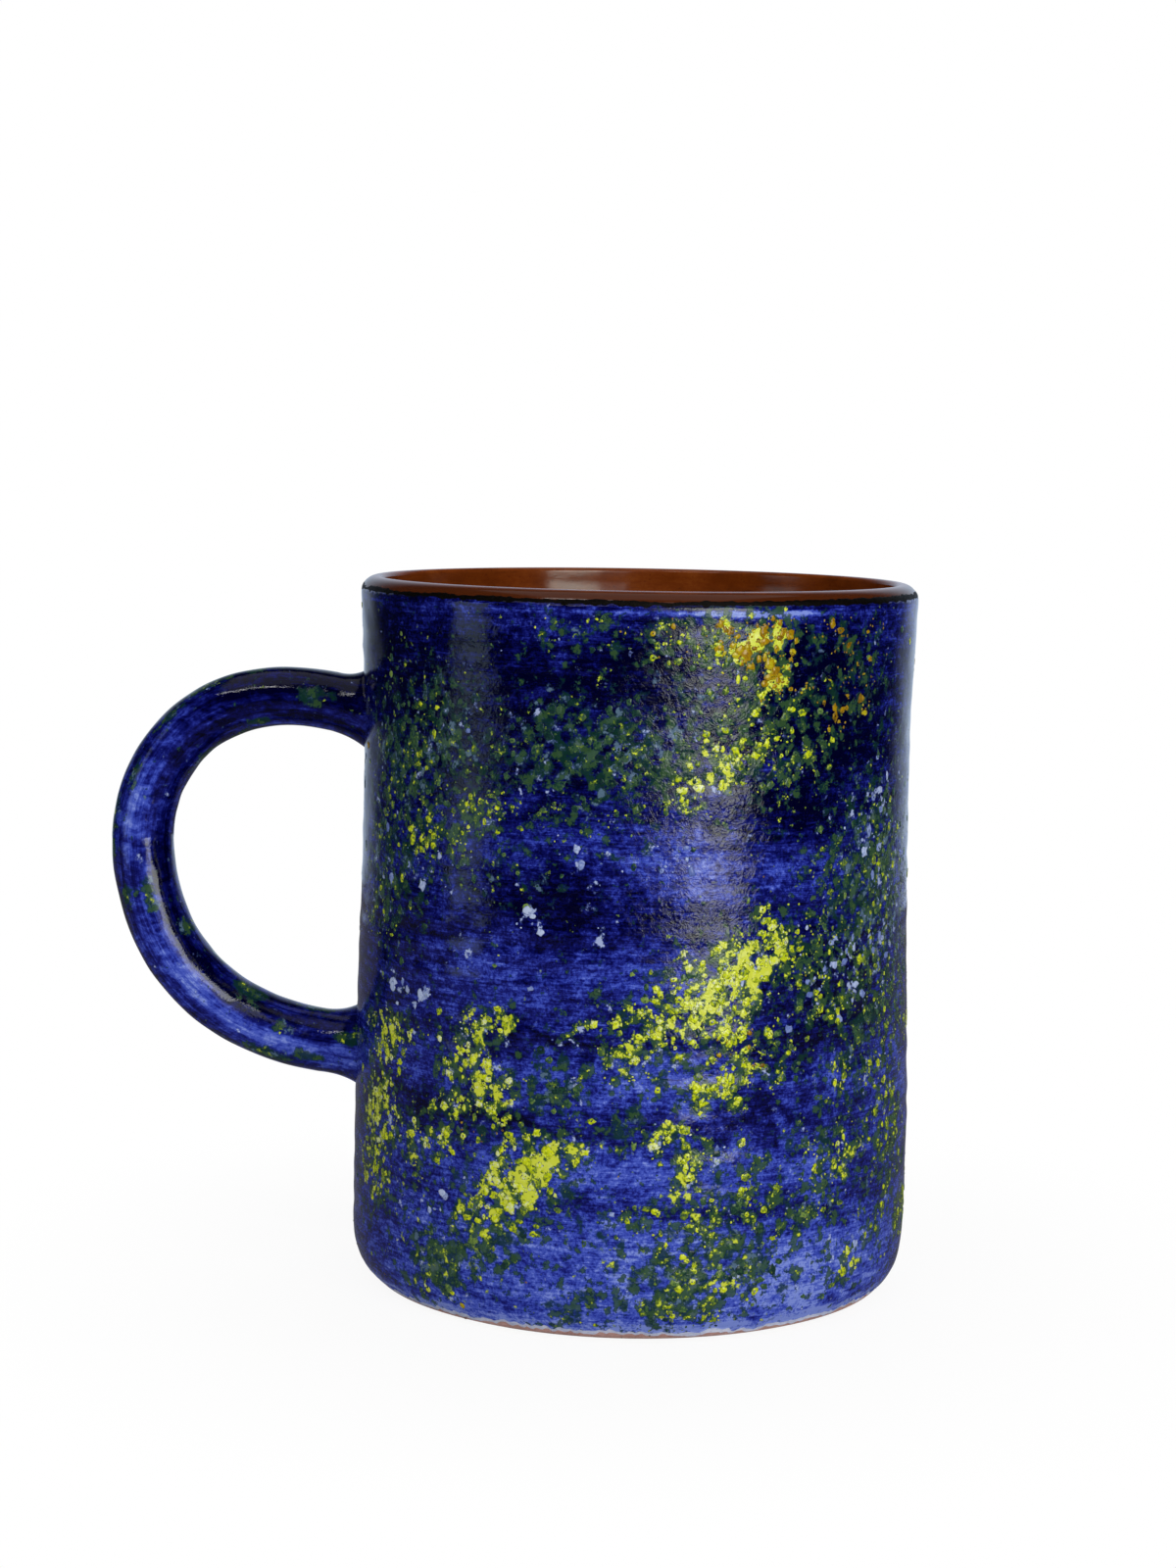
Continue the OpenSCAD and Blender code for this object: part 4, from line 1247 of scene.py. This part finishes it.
def makeHandle():
    look = handlePaint
    upper = halfHandle(upperCurve, handle["upperThick"], False)
    lower = halfHandle(lowerCurve, handle["lowerThick"], True)
    rings = np.array(upper + lower[-2::-1])
    rows, columns = rings.shape[:2]
    grid = rings * mm
    points = np.concatenate([grid.reshape(-1, 3), grid[0].mean(0)[None], grid[-1].mean(0)[None]])
    faces = bandFaces(rows, columns)
    faces += fanFaces(0, columns, rows * columns, False)
    faces += fanFaces((rows - 1) * columns, columns, rows * columns + 1, True)
    piece = newPiece("blueGlazeHandle", points, faces, blueGlaze, ["handle_glaze_coat"])
    bm = bmesh.new()
    bm.from_mesh(piece.data)
    bmesh.ops.recalc_face_normals(bm, faces=bm.faces)
    bm.to_mesh(piece.data)
    bm.free()
    # the two end points take what the first and the last point of the rings have
    steps = np.linalg.norm(np.diff(rings.mean(1), axis=0), axis=1)
    own = np.concatenate([np.arange(rows * columns), [0, rows * columns - 1]])
    along = np.repeat(np.concatenate([[0], np.cumsum(steps)]), columns)[own]
    around = np.tile(handleTurns, rows)[own]
    stroke = [look["strokeAlong"] * along, look["strokeAround"] * np.cos(around),
              look["strokeAround"] * np.sin(around)]
    side = halfTurn(around - 1.5 * math.pi)
    # sheenRun and sheenBand carry the painted reflection on the camera side
    sheenRun = np.interp(along, *zip(*look["sheenRun"]))
    fields = {
        "even": np.ones(len(along)),
        "blotch": handleBlotches(along, side),
        "sheenRun": sheenRun,
        "sheenBand": sheenRun * bandAlong(look["light"], along, side, look["sheenWide"]),
    }
    for name, amounts in look["dabs"].items():
        setShare(piece, name, mixed(fields, amounts))
    for name in ("grain", "wrinkle"):
        setShare(piece, name, look[name] * fields["even"])
    setShare(piece, "loadAndSheen", handleLoadAndSheen(along, around, side, sheenRun))
    setShare(piece, "stroke", np.stack(stroke, -1), "FLOAT_VECTOR")


makeHandle()
print("handle made")

# The dabbed drops, each a low bead with an outline of its own. Sizes are in millimetres
dabs = {
    "kinds": {
        "large": {"share": 0.35, "sectors": 9, "rings": (0.72, 1.0), "rises": (0.92, -0.35)},
        "small": {"share": 1.0, "sectors": 6, "rings": (0.7, 1.0), "rises": (0.9, -0.35)},
    },
    "smallest": 0.13,
    "between": 0.32,
    "levels": (0.012, 0.968),
    "rootRoom": 9.0,
    "sink": 0.1,
    "lobes": (0, 0.18),
    "rough": (-0.1, 0.1),
    "leastShare": 0.3,
    "mostShare": 1.8,
    "squeeze": (0.75, 1.25),
    "tall": (0.5, 1.2),
    "fullSize": 0.5,
    "hollowShare": 0.2,
    "hollowRise": -0.4,
    "middleRise": 1.05,
    "riseJitter": (-0.12, 0.12),
    "toneJitter": (-0.3, 0.3),
    "looseBelow": 0.35,
    "yieldBelow": 0.4,
    "yieldShare": 0.3,
    "gain": 1.15,
    "ease": 1.8,
    "sizeDraw": (1.2, 2.4),
    "sizeShare": 0.6,
    "sizeGain": 0.5,
    "sizeLimits": (0.5, 1.2),
}
drops = {
    "green": {"drifts": greenDrifts, "yields": yellowDrifts, "seed": 51, "tries": 13000, "crowd": 1.0,
              "height": 0.05, "scatter": 0.014, "largest": 0.95, "loose": (0.1, 0.7)},
    "white": {"drifts": whiteDrifts, "yields": yellowDrifts, "seed": 52, "tries": 13000, "crowd": 1.0,
              "height": 0.06, "scatter": 0.007, "largest": 1.2, "loose": (0.3, 0.9)},
    "ochre": {"drifts": ochreDrifts, "yields": [], "seed": 53, "tries": 60000, "crowd": 0.9,
              "height": 0.1, "scatter": 0.0005, "largest": 1.0, "loose": (0.3, 0.8)},
    "yellow": {"drifts": yellowDrifts, "yields": [], "seed": 54, "tries": 60000, "crowd": 0.56,
               "height": 0.09, "scatter": 0.0025, "largest": 0.95, "loose": (0.68, 0.98)},
}


def beadFaces(sectors, rings, each):
    j = np.arange(sectors)
    pairs = list(zip(j, (j + 1) % sectors))
    top = [[0, 1 + a, 1 + b] for a, b in pairs]
    sides = []
    for r in range(rings - 1):
        inner, outer = 1 + r * sectors, 1 + (r + 1) * sectors
        sides += [[inner + a, outer + a, outer + b, inner + b] for a, b in pairs]
    last = 1 + (rings - 1) * sectors
    return top + sides + [[each - 1, last + b, last + a] for a, b in pairs]


def makeBeads(draw, kind, turn, run, size, height):
    # points, faces and rim shares of one kind of bead, one row of points to a bead
    sectors, rings = kind["sectors"], kind["rings"]
    count = len(turn)
    around = np.linspace(0, 2 * math.pi, sectors, endpoint=False)
    outline = np.ones((count, sectors))
    for m in (2, 3, 4, 5):
        lobe = draw.uniform(*dabs["lobes"], (count, 1))
        outline += lobe * np.cos(m * around + draw.uniform(0, 2 * math.pi, (count, 1)))
    outline += draw.uniform(*dabs["rough"], (count, sectors))
    outline = np.clip(outline, dabs["leastShare"], dabs["mostShare"]) * size[:, None]
    squeeze = draw.uniform(*dabs["squeeze"], (count, 1))
    tall = height * draw.uniform(*dabs["tall"], count) * np.clip(size / dabs["fullSize"], *dabs["tall"])
    hollow = draw.uniform(0, 1, count) < dabs["hollowShare"]
    middle = np.where(hollow, dabs["hollowRise"], dabs["middleRise"]) * tall
    rows = [outsideXyz(turn, run, -middle)[:, None]]
    for ring, rise in zip(rings, kind["rises"]):
        across = outline * ring * np.cos(around) * squeeze
        up = outline * ring * np.sin(around) / squeeze
        lift = (rise + draw.uniform(*dabs["riseJitter"], (count, sectors))) * tall[:, None]
        rows.append(outsideXyz(turn[:, None] + across / waistRadius, run[:, None] + up, -lift))
    rows.append(outsideXyz(turn, run, dabs["sink"] + 0 * turn)[:, None])
    points = np.concatenate(rows, 1)
    rim = np.concatenate([[0.0], np.repeat(rings, sectors) ** 1.5, [1.0]])
    return points, beadFaces(sectors, len(rings), points.shape[1]), rim


def scatterDabs(draw, look, number):
    # where dabs land: thick in their own drifts, thin under the others', and none by the handle's roots
    turn = draw.uniform(-math.pi, math.pi, number)
    level = draw.uniform(*dabs["levels"], number)
    strength, tone = driftField(look["drifts"], turn, level)
    others = driftField(look["yields"], turn, level)[0] if look["yields"] else 0 * strength
    wanted = (dabs["gain"] * strength) ** dabs["ease"]
    wanted = wanted - dabs["yieldShare"] * others * (strength < dabs["yieldBelow"])
    keep = draw.uniform(0, 1, number) < np.clip(wanted, 0, look["crowd"]) + look["scatter"]
    fromHandle = np.abs((np.degrees(turn) + 360) % 360 - 180) * math.pi / 180 * waistRadius
    for root in (upperZ, lowerZ):
        keep &= np.hypot(fromHandle, level * pot["height"] - root) > dabs["rootRoom"]
    turn, level, strength, tone = turn[keep], level[keep], strength[keep], tone[keep]
    tone = np.where(strength < dabs["looseBelow"], draw.uniform(*look["loose"], len(tone)), tone)
    return turn, level, strength, tone


def makeDrops(colour, look):
    draw = np.random.default_rng(look["seed"])
    name = colour + "Drops"
    points, faces, rims, tones = [], [], [], []
    start = 0
    spans = {"large": (dabs["between"], look["largest"]), "small": (dabs["smallest"], dabs["between"])}
    for title, kind in dabs["kinds"].items():
        low, high = spans[title]
        turn, level, strength, tone = scatterDabs(draw, look, int(look["tries"] * kind["share"]))
        count = len(turn)
        swell = np.clip(dabs["sizeShare"] + dabs["sizeGain"] * strength, *dabs["sizeLimits"])
        size = low + (high - low) * draw.beta(*dabs["sizeDraw"], count) * swell
        beads, shape, rim = makeBeads(draw, kind, turn, runAt(level * pot["height"]), size, look["height"])
        each = beads.shape[1]
        points.append(beads.reshape(-1, 3))
        faces += [[c + start + each * d for c in face] for d in range(count) for face in shape]
        rims.append(np.tile(rim, count))
        tones.append(np.repeat(tone + draw.uniform(*dabs["toneJitter"], count), each))
        start += count * each
        print(name, title, count)
    piece = newPiece(name, np.concatenate(points), faces, dabGlazes[colour],
                     [colour + "_drops"])
    setShare(piece, "rim", np.concatenate(rims))
    setShare(piece, "tone", np.concatenate(tones))


for colour, look in drops.items():
    makeDrops(colour, look)

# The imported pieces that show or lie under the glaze
packedClays = {
    "clay_pot": "bareRedClay",
    "clay_handle": "bareRedClay",
    "upper_joint_slip": "joiningSlip",
    "lower_joint_slip": "joiningSlip",
    "handle_slip_coat": "whiteSlip",
}
for node, clay in packedClays.items():
    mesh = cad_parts[node].data
    mesh.materials.clear()
    mesh.materials.append(clays[clay])

# Floor, lights and camera
floorLook = {
    "radius": 0.42,
    "middleRadius": 0.02,
    "rings": 24,
    "columns": 96,
    "colour": tint(244, 244, 244),
    "roughness": 0.9,
    "fadeStart": 0.045,
    "fadeEnd": 0.12,
    "glow": 0.92,
    "mirrored": 0.12,
}


def makeFloor():
    bm = bmesh.new()
    columns = floorLook["columns"]
    around = np.linspace(0, 2 * math.pi, columns, endpoint=False)
    before = None
    for radius in np.linspace(floorLook["middleRadius"], floorLook["radius"], floorLook["rings"]):
        ring = [bm.verts.new((radius * math.cos(a), radius * math.sin(a), 0)) for a in around]
        if before is None:
            bm.faces.new(ring)
        else:
            for j in range(columns):
                bm.faces.new((before[j], ring[j], ring[(j + 1) % columns], before[(j + 1) % columns]))
        before = ring
    mesh = bpy.data.meshes.new("studioFloor")
    bm.to_mesh(mesh)
    bm.free()
    floor = bpy.data.objects.new("studioFloor", mesh)
    bpy.context.scene.collection.objects.link(floor)
    material, t, shader, place = newMaterial("floorPaper")
    shader.inputs["Base Color"].default_value = floorLook["colour"]
    shader.inputs["Roughness"].default_value = floorLook["roughness"]
    shader.inputs["Specular IOR Level"].default_value = 0.0
    out = next(n for n in t.nodes if n.bl_idname == "ShaderNodeOutputMaterial")
    flat = stretch(t, place, (mm, mm, 0))
    away = addNode(t, "ShaderNodeVectorMath", {0: flat}, operation="LENGTH").outputs["Value"]
    fade = step(t, away, floorLook["fadeStart"], floorLook["fadeEnd"])
    rays = addNode(t, "ShaderNodeLightPath").outputs
    lit = plus(t, floorLook["glow"], times(t, fade, 1 - floorLook["glow"]))
    white = addNode(t, "ShaderNodeEmission", {"Color": (1, 1, 1, 1), "Strength": 1.0})
    seen = addNode(t, "ShaderNodeMixShader", {
        0: times(t, lit, rays["Is Camera Ray"]), 1: shader.outputs[0], 2: white.outputs[0]})
    dim = addNode(t, "ShaderNodeEmission", {"Color": (1, 1, 1, 1), "Strength": floorLook["mirrored"]})
    both = addNode(t, "ShaderNodeMixShader", {
        0: rays["Is Glossy Ray"], 1: seen.outputs[0], 2: dim.outputs[0]})
    t.links.new(both.outputs[0], out.inputs["Surface"])
    mesh.materials.append(material)


makeFloor()

# Turns are degrees to the right of the camera's side. The lamps aim at a height of the mug, in metres
lampAim = 0.06
lamps = {
    "windowLight": {"turn": 22, "rise": 16, "away": 1.4, "wide": 1.1, "tall": 1.6, "radiance": 2.7,
                    "colour": (1.0, 0.98, 0.96), "mirrored": False},
    "windowRight": {"turn": 32, "rise": 16, "away": 1.4, "wide": 0.6, "tall": 1.25, "radiance": 8.2,
                    "colour": (0.97, 1.0, 0.9), "lit": False},
    "windowSoft": {"turn": 13, "rise": 18, "away": 1.4, "wide": 0.4, "tall": 1.0, "radiance": 1.8,
                   "colour": (0.92, 0.97, 1.0), "lit": False},
    "windowLeft": {"turn": -71, "rise": 8, "away": 1.2, "wide": 0.38, "tall": 0.75, "radiance": 1.4,
                   "colour": (0.72, 0.93, 1.0), "lit": False},
    "backFill": {"turn": 168, "rise": 34, "away": 1.4, "wide": 1.2, "tall": 1.2, "radiance": 1.5,
                 "colour": (1.0, 1.0, 1.0), "mirrored": False},
    "ceiling": {"turn": 0, "rise": 88, "away": 1.2, "wide": 1.3, "tall": 1.3, "radiance": 0.55,
                "colour": (1.0, 1.0, 1.0)},
    "tube": {"turn": -30, "rise": 52, "away": 1.2, "wide": 0.5, "tall": 0.05, "radiance": 17,
             "colour": (1.0, 1.0, 1.0)},
}


def makeLamp(name, look):
    data = bpy.data.lights.new(name, "AREA")
    data.shape = "RECTANGLE"
    data.size = look["wide"]
    data.size_y = look["tall"]
    data.energy = look["radiance"] * math.pi * look["wide"] * look["tall"]
    data.color = look["colour"]
    lamp = bpy.data.objects.new(name, data)
    bpy.context.scene.collection.objects.link(lamp)
    turn = math.radians(look["turn"])
    rise = math.radians(look["rise"])
    target = Vector((0, 0, lampAim))
    way = Vector((math.sin(turn) * math.cos(rise), -math.cos(turn) * math.cos(rise), math.sin(rise)))
    lamp.location = target + way * look["away"]
    lamp.rotation_euler = way.to_track_quat("Z", "Y").to_euler()
    lamp.visible_camera = False
    lamp.visible_diffuse = look.get("lit", True)
    lamp.visible_glossy = look.get("mirrored", True)


for name, look in lamps.items():
    makeLamp(name, look)

surroundings = {
    "diffuse": 0.34,
    "front": 0.02,
    "back": 0.95,
    "backFrom": 0.62,
    "backTo": 1.0,
    "leftShare": 0.6,
    "leftFrom": -0.5,
    "leftTo": 0.4,
    "mirrored": (0.66, 0.8, 1.0, 1.0),
}


def makeWorld():
    look = surroundings
    world = bpy.data.worlds.new("paleStudio")
    bpy.context.scene.world = world
    world.use_nodes = True
    t = world.node_tree
    t.nodes.clear()
    way = addNode(t, "ShaderNodeTexCoord").outputs["Generated"]
    parts = addNode(t, "ShaderNodeSeparateXYZ", {0: way})
    back = step(t, parts.outputs["Y"], look["backFrom"], look["backTo"])
    side = addNode(t, "ShaderNodeMapRange", {
        "Value": parts.outputs["X"], "From Min": look["leftFrom"], "From Max": look["leftTo"],
        "To Min": look["leftShare"], "To Max": 1.0})
    back = times(t, back, side.outputs[0])
    glossy = plus(t, look["front"], times(t, back, look["back"]))
    rays = addNode(t, "ShaderNodeLightPath").outputs
    strength = addNode(t, "ShaderNodeMix", {"Factor": rays["Is Glossy Ray"], 2: look["diffuse"], 3: glossy})
    plain = calc(t, "MAXIMUM", rays["Is Camera Ray"], rays["Is Transmission Ray"])
    strength = addNode(t, "ShaderNodeMix", {"Factor": plain, 2: strength.outputs[0], 3: 1.0})
    colour = blend(t, rays["Is Glossy Ray"], (1, 1, 1, 1), look["mirrored"])
    sky = addNode(t, "ShaderNodeBackground", {"Color": colour, "Strength": strength.outputs[0]})
    out = addNode(t, "ShaderNodeOutputWorld")
    t.links.new(sky.outputs[0], out.inputs["Surface"])


makeWorld()

# The camera, found by fitting the photo's outline: pixels of the 1200 by 1600 frame, metres and radians
cameraFit = {
    "focalPixels": 3032.8,
    "framePixels": 1600,
    "away": 0.4563,
    "high": 0.12776,
    "pitch": 0.11255,
    "roll": 0.01847,
    "yaw": -0.01608,
    "sensor": 36,
}


def makeCamera():
    c = cameraFit
    data = bpy.data.cameras.new("photoCamera")
    data.sensor_width = c["sensor"]
    data.lens = c["focalPixels"] * c["sensor"] / c["framePixels"]
    data.clip_start = 0.01
    camera = bpy.data.objects.new("photoCamera", data)
    bpy.context.scene.collection.objects.link(camera)
    right = Vector((math.cos(c["yaw"]), -math.sin(c["yaw"]) * math.cos(c["pitch"]),
                    math.sin(c["yaw"]) * math.sin(c["pitch"])))
    ahead = Vector((math.sin(c["yaw"]), math.cos(c["yaw"]) * math.cos(c["pitch"]),
                    -math.cos(c["yaw"]) * math.sin(c["pitch"])))
    above = right.cross(ahead)
    tiltedRight = right * math.cos(c["roll"]) + above * math.sin(c["roll"])
    tiltedUp = above * math.cos(c["roll"]) - right * math.sin(c["roll"])
    turned = Matrix((tiltedRight, tiltedUp, -ahead)).transposed().to_4x4()
    camera.matrix_world = Matrix.Translation((0, -c["away"], c["high"])) @ turned
    bpy.context.scene.camera = camera


makeCamera()
bpy.context.scene.view_settings.view_transform = "Standard"
print("stage made")
